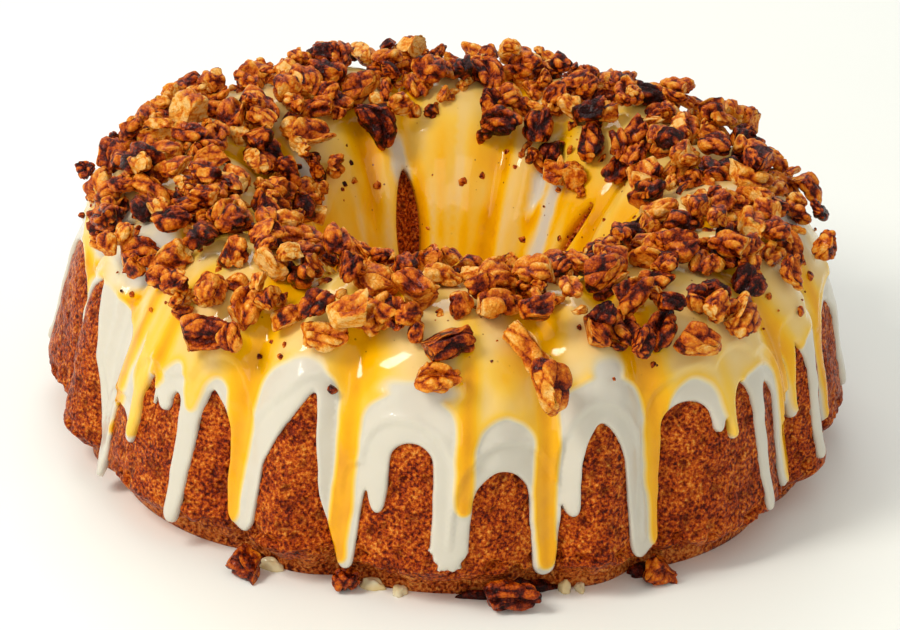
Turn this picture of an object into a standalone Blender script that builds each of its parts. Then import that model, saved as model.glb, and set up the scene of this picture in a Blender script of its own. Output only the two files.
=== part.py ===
"""A fluted ring cake with icing and candied pecans, as it stands once turned out of its pan.

The crumb is one solid ring. Eight wide and eight narrow flutes run up its outer wall, over the crown
and down into the hole. White icing lies over it and hangs down the wall in drips. Pecan pieces sit on
the icing, and a few that slid down lie under the skirt, against the foot.

Metres, with +Z up. The cake stands on z = 0 round the Z axis, and a wide flute faces -Y. An angle is in
degrees, from -Y towards +X. A way is the distance along a ridge, up from the skirt's edge, over the
crown and down to the foot of the hole.
"""

import math
import random
from collections import namedtuple

import bmesh
import bpy
import numpy as np
from mathutils import Matrix, Vector
from mathutils.bvhtree import BVHTree
from mathutils.geometry import delaunay_2d_cdt, interpolate_bezier

MM = 0.001

# The ring's section, at a ridge.
RIDGE_RADIUS = 125 * MM  # of the skirt's edge
SKIRT_HEIGHT = 12 * MM
FOOT_RADIUS = 114 * MM  # of the flat that the cake rests on
WALL_LEAN = 6 * MM  # the straight part of the wall leans in by this
SHOULDER_HEIGHT = 41 * MM
CROWN_RADIUS = 82 * MM
CROWN_HEIGHT = 77 * MM
THROAT_RADIUS = 45 * MM
THROAT_HEIGHT = 35 * MM
HOLE_RADIUS = 33 * MM
FOOT_ROUNDING = 4 * MM  # of the edges next to the flat

# The flutes, pressed in between ridges.
WIDE_FLUTE = 30.0
NARROW_FLUTE = 15.0
FLUTE_DEPTH = 8 * MM
SHALLOWEST = 0.35  # share of that depth left in the hole
WIDE_COLUMNS = 6  # of faces across each flute
NARROW_COLUMNS = 4
COURSES = 12  # of faces, from the skirt's edge to the icing's edge in the hole

# The icing.
GAP = 0.5 * MM
ICING_THICKNESS = 2.6 * MM
ICING_FOLLOW = 0.85  # share of a flute's depth that still shows through the icing
EDGE_SHARE = 0.7  # of the icing's thickness, at its edge
HANG = 8 * MM  # the furthest that a drip reaches below the skirt
ROUND_DEGREES = math.degrees(1 / RIDGE_RADIUS)  # of one metre round the skirt
HOLE_EDGE_HEIGHT = 9 * MM  # of the icing's edge in the hole
ARCH_STEP = 4 * MM  # between the points of a bare arch
PATCH_POINTS = 14
COURSE_CLEARANCE = 1.0 * MM  # from the icing's outline to the nearest other point

BARE_PATCH = (-162.2, 147 * MM, 8.5 * MM, 30 * MM)  # left bare in the hole: angle, way, width, length

# A drip: the angle, width and height of its tip, how much wider it is at its top, and how far round
# its top lies from its tip. Then the bare arch after it: its height, how far it rises above its ends,
# where its top lies between them, and how pointed it is, from 0, round, to 1.
Drip = namedtuple("Drip", "angle width tip spread lean height rise apex point")
FRONT_DRIPS = [
    Drip(-75.0, 6 * MM, 17 * MM, 2 * MM, 0, 61 * MM, 20 * MM, 0.65, 0.6),
    Drip(-57.5, 8 * MM, 6 * MM, 9 * MM, -2, 33 * MM, 4 * MM, 0.5, 0),
    Drip(-49.0, 5 * MM, 25 * MM, 0 * MM, 0, 49 * MM, 10 * MM, 0.7, 0.3),
    Drip(-43.2, 6 * MM, 40 * MM, 1 * MM, -0.5, 47 * MM, 4 * MM, 0.5, 0),
    Drip(-39.0, 5 * MM, 9 * MM, 2.5 * MM, 0.3, 52 * MM, 14 * MM, 0.2, 0.3),
    Drip(-29.0, 11 * MM, 13 * MM, 3 * MM, -0.3, 60 * MM, 26 * MM, 0.78, 0.75),
    Drip(-13.3, 6 * MM, 9 * MM, 9 * MM, -1.3, 34 * MM, 3 * MM, 0.5, 0),
    Drip(-9.2, 5.5 * MM, 28 * MM, 1 * MM, 0, 49 * MM, 5 * MM, 0.4, 0),
    Drip(1.0, 11 * MM, 13 * MM, 1.5 * MM, 0, 41.5 * MM, 9 * MM, 0.5, 0),
    Drip(14.2, 7.5 * MM, 9.5 * MM, 2.5 * MM, 0, 31 * MM, 2 * MM, 0.5, 0),
    Drip(17.8, 5 * MM, 27 * MM, 0.5 * MM, 0, 54.5 * MM, 16 * MM, 0.45, 0.35),
    Drip(29.0, 11 * MM, 11 * MM, 4 * MM, 0.2, 54.5 * MM, 6 * MM, 0.5, 0),
    Drip(41.3, 4 * MM, 43 * MM, 0.5 * MM, 0, 47 * MM, 2 * MM, 0.5, 0),
    Drip(43.8, 4 * MM, 39.5 * MM, 0 * MM, 0, 55 * MM, 5 * MM, 0.5, 0.3),
    Drip(50.9, 4.5 * MM, 12.5 * MM, 2 * MM, -1.3, 51 * MM, 5 * MM, 0.4, 0.2),
    Drip(57.6, 9 * MM, 14 * MM, 3 * MM, 0, 38 * MM, 2 * MM, 0.5, 0),
    Drip(61.9, 3.5 * MM, 32 * MM, 0 * MM, 0, 55 * MM, 12 * MM, 0.6, 0.5),
    Drip(66.5, 4.5 * MM, 15 * MM, 0.5 * MM, 0, 55 * MM, 12 * MM, 0.5, 0.4),
    Drip(77.0, 5 * MM, 17 * MM, 1.5 * MM, 0, 52 * MM, 12 * MM, 0.5, 0.3),
    Drip(87.5, 6 * MM, 18 * MM, 0.5 * MM, 0, 54 * MM, 9 * MM, 0.5, 0),
]
BACK_START, BACK_END = 93, 270  # the drips between these follow a rule
BACK_DRIPS = 20
DRIP_SEED = 8

# The pecan pieces.
Piece = namedtuple("Piece", "angle way length turn")
# Those that lie apart from the others: where, how long, and how the long side is turned.
LONE_PIECES = [
    Piece(-37.5, 55 * MM, 17 * MM, 20),
    Piece(-35.0, 66 * MM, 15 * MM, 100),
    Piece(-20.0, 63 * MM, 14 * MM, 10),
    Piece(-12.0, 72 * MM, 15 * MM, 60),
    Piece(-0.5, 65 * MM, 16 * MM, 25),
    Piece(-2.0, 56 * MM, 14 * MM, 0),
    Piece(11.0, 65 * MM, 17 * MM, 115),
    Piece(12.0, 54 * MM, 17 * MM, 95),
    Piece(27.5, 67 * MM, 14 * MM, 80),
    Piece(33.5, 75 * MM, 15 * MM, 10),
    Piece(35.0, 65 * MM, 14 * MM, 40),
    Piece(39.0, 58 * MM, 15 * MM, 140),
    Piece(49.5, 60 * MM, 15 * MM, 20),
    Piece(77.5, 66 * MM, 15 * MM, 70),
    Piece(-77.0, 61 * MM, 17 * MM, 40),
]
ROWS_OF_PIECES = [(78 * MM, 13), (92 * MM, 12), (107 * MM, 11)]  # way and number in each
ROW_SPREAD = 4 * MM
PIECE_LENGTHS = (13 * MM, 18 * MM)
PIECE_WIDTH = 0.66  # share of the length
PIECE_HEIGHT = 0.46
PIECE_SIDES, PIECE_BANDS = 8, 3
GROOVE = 0.55  # what the groove along a pecan leaves of its half height
FLAT_SIDE = 0.75
PIECE_SEED = 21
PIECE_CLEARANCE = 0.35 * MM
SETTLE_STEP = 0.4 * MM

# Pieces under the skirt, in a blob of glaze: angle, length and height.
FOOT_PIECES = [
    (-27.0, 11 * MM, 9 * MM),
    (-13.0, 8 * MM, 7 * MM),
    (9.5, 17 * MM, 9.5 * MM),
    (32.0, 10 * MM, 8.5 * MM),
    (152.0, 12 * MM, 9 * MM),
]
FOOT_PIECE_DEPTH = 7.5 * MM  # in from the skirt


def clear_scene():
    for thing in list(bpy.data.objects):
        bpy.data.objects.remove(thing, do_unlink=True)


def material(name, color, roughness):
    made = bpy.data.materials.new(name)
    made.use_nodes = True
    shader = made.node_tree.nodes["Principled BSDF"]
    shader.inputs["Base Color"].default_value = (*color, 1.0)
    shader.inputs["Roughness"].default_value = roughness
    shader.inputs["Metallic"].default_value = 0.0
    made.diffuse_color = (*color, 1.0)
    return made


def add_object(name, bm, look):
    """Makes the object from a bmesh, with its faces turned outward and rounded parts shaded smooth."""
    bmesh.ops.recalc_face_normals(bm, faces=bm.faces)
    mesh = bpy.data.meshes.new(name)
    bm.to_mesh(mesh)
    bm.free()
    mesh.shade_smooth()
    mesh.set_sharp_from_angle(angle=math.radians(50))
    mesh.materials.append(look)
    made = bpy.data.objects.new(name, mesh)
    bpy.context.scene.collection.objects.link(made)
    return made


# --- The surface that everything follows ---


def ridge_line():
    """The outline at a ridge, as (radius, height): from below the skirt, over the crown, down the hole."""
    skirt = Vector((RIDGE_RADIUS, SKIRT_HEIGHT))
    shoulder = Vector((RIDGE_RADIUS - WALL_LEAN, SHOULDER_HEIGHT))
    crown = Vector((CROWN_RADIUS, CROWN_HEIGHT))
    throat = Vector((THROAT_RADIUS, THROAT_HEIGHT))
    foot = Vector((HOLE_RADIUS, 0.0))
    up_wall = (shoulder - skirt) / (SHOULDER_HEIGHT - SKIRT_HEIGHT)
    up_hole = (throat - foot) / THROAT_HEIGHT
    outer = (
        shoulder,
        shoulder + up_wall * 0.62 * (CROWN_HEIGHT - SHOULDER_HEIGHT),
        crown + Vector((0.55 * (shoulder.x - crown.x), 0.0)),
        crown,
    )
    inner = (
        crown,
        crown - Vector((0.6 * (crown.x - throat.x), 0.0)),
        throat + up_hole * 0.5 * (CROWN_HEIGHT - THROAT_HEIGHT),
        throat,
    )
    points = [skirt - up_wall * HANG, skirt]
    points += interpolate_bezier(*outer, 48)
    points += interpolate_bezier(*inner, 48)[1:]
    points.append(foot)
    return np.array([tuple(point[:2]) for point in points])


LINE = ridge_line()
STEPS = np.diff(LINE, axis=0)
WAYS = np.concatenate([[0.0], np.cumsum(np.hypot(*STEPS.T))])
WAYS -= WAYS[1]
WHOLE_WAY = WAYS[-1]
# Each point's outward direction is at right angles to the line through its neighbours.
SLOPES = np.gradient(LINE, axis=0)
OUTWARD = np.stack([SLOPES[:, 1], -SLOPES[:, 0]], axis=1) / np.hypot(*SLOPES.T)[:, None]
CREST = int(np.argmax(LINE[:, 1]))
HOLE_EDGE = WHOLE_WAY - HOLE_EDGE_HEIGHT
COURSE_WAYS = np.linspace(0.0, HOLE_EDGE, COURSES + 1)


def flute_press(angle):
    """How far the surface is pressed in at this angle, from 0 on a ridge to 1 in a valley."""
    turn = (angle + WIDE_FLUTE / 2) % (WIDE_FLUTE + NARROW_FLUTE) - WIDE_FLUTE / 2
    if turn < WIDE_FLUTE / 2:
        return abs(turn / (WIDE_FLUTE / 2)) ** 2.4
    middle = (WIDE_FLUTE + NARROW_FLUTE) / 2
    return abs((turn - middle) / (NARROW_FLUTE / 2)) ** 1.8


def column_angles():
    """Angles with one in each valley and on each ridge, and even steps between."""
    angles = []
    for flute in range(round(360 / (WIDE_FLUTE + NARROW_FLUTE))):
        start = flute * (WIDE_FLUTE + NARROW_FLUTE) - WIDE_FLUTE / 2
        middle = start + WIDE_FLUTE
        angles += [start + WIDE_FLUTE * step / WIDE_COLUMNS for step in range(WIDE_COLUMNS)]
        angles += [middle + NARROW_FLUTE * step / NARROW_COLUMNS for step in range(NARROW_COLUMNS)]
    return angles


def on_circle(angle, radius, height):
    turn = math.radians(angle)
    return Vector((radius * math.sin(turn), -radius * math.cos(turn), height))


def on_cake(angle, way, lift=0.0, follow=1.0):
    """The point of the cake's surface at this angle and way, raised off it by lift."""
    radius, height = (float(np.interp(way, WAYS, LINE[:, axis])) for axis in (0, 1))
    out, up = (float(np.interp(way, WAYS, OUTWARD[:, axis])) for axis in (0, 1))
    depth = FLUTE_DEPTH * min(max(radius / RIDGE_RADIUS, SHALLOWEST), 1.0)
    lift -= depth * follow * flute_press(angle)
    return on_circle(angle, radius + out * lift, height + up * lift)


def on_icing(angle, way, share=1.0):
    return on_cake(angle, way, GAP + ICING_THICKNESS * share, ICING_FOLLOW)


def way_at(height):
    """The way up the outer wall to this height."""
    return float(np.interp(height, LINE[: CREST + 1, 1], WAYS[: CREST + 1]))


# --- Crumb ---


def ring_of(bm, points):
    """A closed loop of edges through the points."""
    corners = [bm.verts.new(point) for point in points]
    return [bm.edges.new((a, b)) for a, b in zip(corners, corners[1:] + corners[:1])]


def build_cake(look):
    """Rings of edges round the section, each bridged to the next, and the last to the first."""
    angles = column_angles()
    bm = bmesh.new()
    rings = []
    for way in COURSE_WAYS:
        rings.append(ring_of(bm, [on_cake(angle, way) for angle in angles]))
    flat_edges = [
        (HOLE_RADIUS + FOOT_ROUNDING, 0.0, -FLUTE_DEPTH * SHALLOWEST),
        (FOOT_RADIUS, 0.0, FLUTE_DEPTH / 2),
        (RIDGE_RADIUS - FOOT_ROUNDING, SKIRT_HEIGHT - FOOT_ROUNDING, FLUTE_DEPTH),
    ]
    for radius, height, depth in flat_edges:
        ring = [on_circle(angle, radius - depth * flute_press(angle), height) for angle in angles]
        rings.append(ring_of(bm, ring))
    for ring, after in zip(rings, rings[1:] + rings[:1]):
        bmesh.ops.bridge_loops(bm, edges=ring + after)
    bmesh.ops.triangulate(bm, faces=bm.faces)
    return add_object("cake", bm, look)


# --- Icing ---


def back_drips():
    """The drips of the far side: one in each valley, and thinner ones on the wide flutes between."""
    rng = random.Random(DRIP_SEED)
    drips = []
    spacing = (BACK_END - BACK_START) / BACK_DRIPS
    for step in range(BACK_DRIPS):
        angle = BACK_START + spacing * (step + 0.5) + rng.uniform(-1.2, 1.2)
        in_valley = flute_press(angle) > 0.5
        width = rng.uniform(7, 11) * MM if in_valley else rng.uniform(4, 6) * MM
        tip = rng.uniform(9, 20) * MM if in_valley else rng.uniform(12, 38) * MM
        spread = rng.uniform(0.5, 4) * MM
        height = rng.uniform(49, 58) * MM
        rise = rng.uniform(4, 12) * MM
        apex = rng.uniform(0.35, 0.65)
        drips.append(Drip(angle, width, tip, spread, 0.0, height, rise, apex, rng.uniform(0, 0.5)))
    return drips


def drip_side(drip, side):
    """The angle at which a drip's left (-1) or right (1) side meets the arch beside it."""
    return drip.angle + drip.lean + side * (drip.width + drip.spread) / 2 * ROUND_DEGREES


def drip_tip(drip):
    """Points round a drip's tip, from its left side to its right."""
    half = drip.width / 2 * ROUND_DEGREES
    points = []
    for side, height in ((-1, 0.6), (-0.6, 0.15), (0, 0.0), (0.6, 0.15), (1, 0.6)):
        points.append((drip.angle + side * half, way_at(drip.tip + drip.width * height)))
    return points


def bare_arch(drip, after):
    """Points over the bare arch between a drip and the one after it."""
    start = drip_side(drip, 1)
    width = (drip_side(after, -1) - start) % 360
    steps = 2 * math.ceil(max(width / ROUND_DEGREES, drip.rise) / ARCH_STEP / 2)
    points = []
    for step in range(steps + 1):
        share = step / steps
        climb = share / drip.apex if share < drip.apex else (1 - share) / (1 - drip.apex)
        rounded = math.sqrt(1 - (1 - climb) ** 2)
        curve = drip.point * climb + (1 - drip.point) * rounded
        points.append((start + width * share, way_at(drip.height - drip.rise * (1 - curve))))
    return points


def icing_outline():
    """The icing's lower edge as (angle, way) points: round each drip's tip, then over an arch."""
    drips = FRONT_DRIPS + back_drips()
    points = []
    for drip, after in zip(drips, drips[1:] + drips[:1]):
        points += drip_tip(drip) + bare_arch(drip, after)
    return points


def bare_patch_outline():
    """The edge of the patch that the icing leaves bare in the hole, pointed at both ends."""
    angle, way, width, length = BARE_PATCH
    half = math.degrees(width / 2 / float(np.interp(way, WAYS, LINE[:, 0])))
    points = []
    for step in range(PATCH_POINTS):
        turn = 2 * math.pi * step / PATCH_POINTS
        points.append((angle + half * math.sin(turn), way + length / 2 * math.cos(turn)))
    return points


def flat_pattern(angle, way):
    """The icing's sheet laid flat as a ring, with the hole's edge inside: a point's place on it."""
    return on_circle(angle, HOLE_RADIUS + WHOLE_WAY - way, 0.0).to_2d()


def back_from_pattern(point):
    angle = math.degrees(math.atan2(point.x, -point.y))
    return angle, HOLE_RADIUS + WHOLE_WAY - point.length


def near_outline(point, outline):
    """Whether a point of the pattern is too near the outline to give a good triangle."""
    for start, end in zip(outline, outline[1:] + outline[:1]):
        along = end - start
        share = max(0.0, min(1.0, (point - start).dot(along) / along.length_squared))
        if (point - start - along * share).length < COURSE_CLEARANCE:
            return True
    return False


def inside(point, loop):
    """Whether a point of the pattern lies inside a closed loop of points."""
    found = False
    for start, end in zip(loop, loop[1:] + loop[:1]):
        if (start.y > point.y) != (end.y > point.y):
            share = (point.y - start.y) / (end.y - start.y)
            found ^= point.x < start.x + share * (end.x - start.x)
    return found


def icing_points(outline):
    """Points of the sheet: the cake's own grid, and the middle of each drip."""
    points = []
    for way in COURSE_WAYS[:-1]:
        points += [flat_pattern(angle, way) for angle in column_angles()]
    for drip in FRONT_DRIPS + back_drips():
        for height in (drip.tip + drip.width / 2, (drip.tip + drip.height) / 2):
            points.append(flat_pattern(drip.angle, way_at(height)))
    apart = []
    for point in points:
        crowded = any((point - other).length < COURSE_CLEARANCE for other in apart)
        if not crowded and not near_outline(point, outline):
            apart.append(point)
    return apart


def build_icing(look):
    """The sheet is triangulated flat, laid over the cake and thickened, thinner at its edge."""
    outline = [flat_pattern(angle, way) for angle, way in icing_outline()]
    hole = [flat_pattern(angle, HOLE_EDGE) for angle in column_angles()]
    patch = [flat_pattern(angle, way) for angle, way in bare_patch_outline()]
    points, loops = [], []
    for edge in (outline, hole, patch):
        first, count = len(points), len(edge)
        points += edge
        loops += [(first + i, first + (i + 1) % count) for i in range(count)]
    edge_count = len(points)
    points += [point for point in icing_points(outline) if not near_outline(point, patch)]
    # Output type 1 keeps the triangles inside the outer loop, those inside the inner ones too.
    flat, _, faces, sources, _, _ = delaunay_2d_cdt(points, loops, [], 1, 1e-7)
    bm = bmesh.new()
    order = bm.verts.layers.int.new("order")
    places = [back_from_pattern(point) for point in flat]
    lower = [bm.verts.new(on_cake(angle, way, GAP)) for angle, way in places]
    for index, vert in enumerate(lower):
        vert[order] = index
    for face in faces:
        middle = sum((flat[index] for index in face), Vector((0.0, 0.0))) / len(face)
        if inside(middle, outline) and not inside(middle, hole) and not inside(middle, patch):
            bm.faces.new([lower[index] for index in face])
    bmesh.ops.delete(bm, geom=[vert for vert in bm.verts if not vert.link_faces], context="VERTS")
    raised = bmesh.ops.extrude_face_region(bm, geom=bm.faces[:], use_keep_orig=True)
    for vert in raised["geom"]:
        if isinstance(vert, bmesh.types.BMVert):
            angle, way = places[vert[order]]
            at_edge = any(source < edge_count for source in sources[vert[order]])
            vert.co = on_icing(angle, way, EDGE_SHARE if at_edge else 1.0)
    return add_object("icing", bm, look)


# --- Pecans ---


def pecan_piece(sizes, rng):
    """A piece of pecan along X: rounded, with a groove along its top and a flatter underside."""
    bm = bmesh.new()
    bmesh.ops.create_uvsphere(bm, u_segments=PIECE_SIDES, v_segments=PIECE_BANDS, radius=0.5)
    bmesh.ops.rotate(bm, verts=bm.verts, matrix=Matrix.Rotation(math.radians(90), 3, "Y"))
    for vert in bm.verts:
        if abs(vert.co.y) < 0.01 and vert.co.z > 0.1:
            vert.co.z *= GROOVE
        if vert.co.z < -0.1:
            vert.co.z *= FLAT_SIDE
        for axis in range(3):
            vert.co[axis] *= rng.uniform(0.88, 1.0)
    for axis, size in enumerate(sizes):
        reach = [vert.co[axis] for vert in bm.verts]
        for vert in bm.verts:
            vert.co[axis] *= size / (max(reach) - min(reach))
    bmesh.ops.triangulate(bm, faces=bm.faces)
    return bm


def tree_of(bm, place):
    """The search tree of a bmesh at a place."""
    bm.verts.index_update()
    corners = [place @ vert.co for vert in bm.verts]
    return BVHTree.FromPolygons(corners, [[vert.index for vert in face.verts] for face in bm.faces])


def tree_of_object(thing):
    bm = bmesh.new()
    bm.from_mesh(thing.data)
    tree = tree_of(bm, Matrix.Identity(4))
    bm.free()
    return tree


def surface_frame(angle, way):
    """The turn that lays X round the cake and Z straight out of the icing."""
    step = 2 * MM
    along = on_icing(angle + 1.0, way) - on_icing(angle - 1.0, way)
    up = on_icing(angle, way + step) - on_icing(angle, way - step)
    out = along.cross(up).normalized()
    along = (along - out * along.dot(out)).normalized()
    return Matrix((along, out.cross(along), out)).transposed()


def settle(bm, angle, way, turn, placed):
    """Raises the piece off the icing until it touches neither that nor another piece."""
    base = on_icing(angle, way)
    frame = surface_frame(angle, way)
    out = frame.col[2]
    length = max(vert.co.x for vert in bm.verts) * 2
    grown = Matrix.Scale(1 + 2 * PIECE_CLEARANCE / (length * PIECE_HEIGHT), 4)
    turned = (frame @ turn).to_4x4()
    lift = 0.0
    while True:
        place = Matrix.Translation(base + out * lift) @ turned
        tree = tree_of(bm, place @ grown)
        if not any(tree.overlap(other) for other in placed):
            return place, tree_of(bm, place)
        lift += SETTLE_STEP


def row_pieces(rng):
    """Where the pieces on the crown lie: rows round it, with each piece moved a little at random."""
    pieces = []
    for way, count in ROWS_OF_PIECES:
        start = rng.uniform(0, 360)
        for index in range(count):
            angle = start + 360 * (index + rng.uniform(-0.25, 0.25)) / count
            spread = rng.uniform(-ROW_SPREAD, ROW_SPREAD)
            pieces.append(Piece(angle, way + spread, rng.uniform(*PIECE_LENGTHS), rng.uniform(0, 180)))
    return pieces


def build_pieces(cake, icing, look):
    """The pieces on the icing, each settled clear of those before it."""
    rng = random.Random(PIECE_SEED)
    placed = [tree_of_object(cake), tree_of_object(icing)]
    for number, piece in enumerate(LONE_PIECES + row_pieces(rng)):
        sizes = (piece.length, piece.length * PIECE_WIDTH, piece.length * PIECE_HEIGHT)
        bm = pecan_piece(sizes, rng)
        turn = Matrix.Rotation(math.radians(piece.turn), 3, "Z")
        turn = turn @ Matrix.Rotation(math.radians(rng.uniform(-14, 14)), 3, "Y")
        turn = turn @ Matrix.Rotation(math.radians(rng.uniform(-20, 20)), 3, "X")
        place, tree = settle(bm, piece.angle, piece.way, turn, placed)
        placed.append(tree)
        made = add_object(f"pecan_{number + 1:02d}", bm, look)
        made.matrix_world = place


def build_foot_pieces(cake, icing, look):
    """Pieces that lie flat under the skirt, moved outward until they are clear of the foot's slope."""
    rng = random.Random(PIECE_SEED)
    others = [tree_of_object(cake), tree_of_object(icing)]
    for number, (angle, length, height) in enumerate(FOOT_PIECES):
        bm = pecan_piece((length, FOOT_PIECE_DEPTH, height), rng)
        lowest = min(vert.co.z for vert in bm.verts)
        turn = Matrix.Rotation(math.radians(angle), 4, "Z")
        radius, touching = FOOT_RADIUS, True
        while touching:
            radius += SETTLE_STEP
            tree = tree_of(bm, Matrix.Translation(on_circle(angle, radius, -lowest)) @ turn)
            touching = any(tree.overlap(other) for other in others)
        made = add_object(f"foot_pecan_{number + 1}", bm, look)
        radius += PIECE_CLEARANCE
        made.matrix_world = Matrix.Translation(on_circle(angle, radius, -lowest)) @ turn


def main():
    clear_scene()
    crust = material("crust", (0.42, 0.14, 0.03), 0.6)
    white = material("icing", (0.80, 0.76, 0.66), 0.3)
    candied = material("candied pecan", (0.30, 0.10, 0.025), 0.35)
    cake = build_cake(crust)
    icing = build_icing(white)
    build_pieces(cake, icing, candied)
    build_foot_pieces(cake, icing, candied)


main()
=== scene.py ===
"""How the ring cake looks: its browned crust, poured icing, caramel and candied pecans.

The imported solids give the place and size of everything. Finer pieces stand for them here: the crust
with its pores, the icing with its caramel, and each pecan with its furrows. Further pecans and crumbs
are settled round those that the solids have.

Metres, with +Z up. An angle is in degrees, from -Y towards +X. A way is the distance along a ridge of
the cake, up from the skirt's edge, over the crown and down to the foot of the hole.
"""

import math
import random
from collections import namedtuple

import bmesh
import bpy
import numpy as np
from mathutils import Matrix, Vector
from mathutils.geometry import delaunay_2d_cdt, interpolate_bezier
from mathutils.kdtree import KDTree


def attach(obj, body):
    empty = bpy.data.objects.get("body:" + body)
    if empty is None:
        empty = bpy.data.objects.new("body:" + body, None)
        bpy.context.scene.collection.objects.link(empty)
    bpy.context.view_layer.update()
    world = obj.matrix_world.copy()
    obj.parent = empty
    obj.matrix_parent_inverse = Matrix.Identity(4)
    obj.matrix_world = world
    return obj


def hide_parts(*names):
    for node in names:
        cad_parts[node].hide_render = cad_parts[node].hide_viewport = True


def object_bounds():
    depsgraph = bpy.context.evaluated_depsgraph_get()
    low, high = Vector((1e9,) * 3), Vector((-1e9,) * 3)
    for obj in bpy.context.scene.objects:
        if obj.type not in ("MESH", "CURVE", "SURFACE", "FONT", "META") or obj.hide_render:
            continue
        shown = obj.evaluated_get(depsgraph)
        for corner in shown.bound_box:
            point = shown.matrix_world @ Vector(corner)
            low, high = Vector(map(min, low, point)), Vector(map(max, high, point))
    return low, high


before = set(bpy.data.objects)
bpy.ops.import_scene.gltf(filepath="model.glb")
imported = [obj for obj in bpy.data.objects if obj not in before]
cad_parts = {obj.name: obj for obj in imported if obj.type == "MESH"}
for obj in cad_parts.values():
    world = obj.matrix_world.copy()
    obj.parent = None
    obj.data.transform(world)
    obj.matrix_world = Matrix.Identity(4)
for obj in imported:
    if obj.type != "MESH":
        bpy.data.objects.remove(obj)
CAD_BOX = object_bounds()

MM = 0.001

# --- The cake's own sizes, as its solids have them ---

RIDGE_RADIUS = 125 * MM  # of the skirt's edge
SKIRT_HEIGHT = 12 * MM
FOOT_RADIUS = 114 * MM  # of the flat that the cake rests on
WALL_LEAN = 6 * MM
SHOULDER_HEIGHT = 41 * MM
CROWN_RADIUS = 82 * MM
CROWN_HEIGHT = 77 * MM
THROAT_RADIUS = 45 * MM
THROAT_HEIGHT = 35 * MM
HOLE_RADIUS = 33 * MM
FOOT_ROUNDING = 4 * MM
WIDE_FLUTE = 30.0
NARROW_FLUTE = 15.0
FLUTE_DEPTH = 8 * MM
SHALLOWEST = 0.35
HANG = 8 * MM  # the furthest that a drip reaches below the skirt
HOLE_EDGE_HEIGHT = 9 * MM
ROUND_DEGREES = math.degrees(1 / RIDGE_RADIUS)  # of one metre round the skirt

# A drip: the angle, width and height of its tip, how much wider it is at its top, and how far round
# its top lies from its tip. Then the bare arch after it: its height, how far it rises above its ends,
# where its top lies between them, and how pointed it is, from 0, round, to 1.
Drip = namedtuple("Drip", "angle width tip spread lean height rise apex point")
FRONT_DRIPS = [
    Drip(-75.0, 6 * MM, 17 * MM, 2 * MM, 0, 61 * MM, 20 * MM, 0.65, 0.6),
    Drip(-57.5, 8 * MM, 6 * MM, 9 * MM, -2, 33 * MM, 4 * MM, 0.5, 0),
    Drip(-49.0, 5 * MM, 25 * MM, 0 * MM, 0, 49 * MM, 10 * MM, 0.7, 0.3),
    Drip(-43.2, 6 * MM, 40 * MM, 1 * MM, -0.5, 47 * MM, 4 * MM, 0.5, 0),
    Drip(-39.0, 5 * MM, 9 * MM, 2.5 * MM, 0.3, 52 * MM, 14 * MM, 0.2, 0.3),
    Drip(-29.0, 11 * MM, 13 * MM, 3 * MM, -0.3, 60 * MM, 26 * MM, 0.78, 0.75),
    Drip(-13.3, 6 * MM, 9 * MM, 9 * MM, -1.3, 34 * MM, 3 * MM, 0.5, 0),
    Drip(-9.2, 5.5 * MM, 28 * MM, 1 * MM, 0, 49 * MM, 5 * MM, 0.4, 0),
    Drip(1.0, 11 * MM, 13 * MM, 1.5 * MM, 0, 41.5 * MM, 9 * MM, 0.5, 0),
    Drip(14.2, 7.5 * MM, 9.5 * MM, 2.5 * MM, 0, 31 * MM, 2 * MM, 0.5, 0),
    Drip(17.8, 5 * MM, 27 * MM, 0.5 * MM, 0, 54.5 * MM, 16 * MM, 0.45, 0.35),
    Drip(29.0, 11 * MM, 11 * MM, 4 * MM, 0.2, 54.5 * MM, 6 * MM, 0.5, 0),
    Drip(41.3, 4 * MM, 43 * MM, 0.5 * MM, 0, 47 * MM, 2 * MM, 0.5, 0),
    Drip(43.8, 4 * MM, 39.5 * MM, 0 * MM, 0, 55 * MM, 5 * MM, 0.5, 0.3),
    Drip(50.9, 4.5 * MM, 12.5 * MM, 2 * MM, -1.3, 51 * MM, 5 * MM, 0.4, 0.2),
    Drip(57.6, 9 * MM, 14 * MM, 3 * MM, 0, 38 * MM, 2 * MM, 0.5, 0),
    Drip(61.9, 3.5 * MM, 32 * MM, 0 * MM, 0, 55 * MM, 12 * MM, 0.6, 0.5),
    Drip(66.5, 4.5 * MM, 15 * MM, 0.5 * MM, 0, 55 * MM, 12 * MM, 0.5, 0.4),
    Drip(77.0, 5 * MM, 17 * MM, 1.5 * MM, 0, 52 * MM, 12 * MM, 0.5, 0.3),
    Drip(87.5, 6 * MM, 18 * MM, 0.5 * MM, 0, 54 * MM, 9 * MM, 0.5, 0),
]
BACK_START, BACK_END = 93, 270  # the drips between these follow a rule
BACK_DRIPS = 20
DRIP_SEED = 8
RAGGED = (1.0, 22 * MM)  # the drip at this angle set ragged on the crumb, up to this height


def run(angle, width, tip, height, lean=0.0):
    """A run of caramel over the icing, in the same terms as a drip."""
    return Drip(angle, width, tip, 1.5 * MM, lean, height, 7 * MM, 0.5, 0.1)


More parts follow.
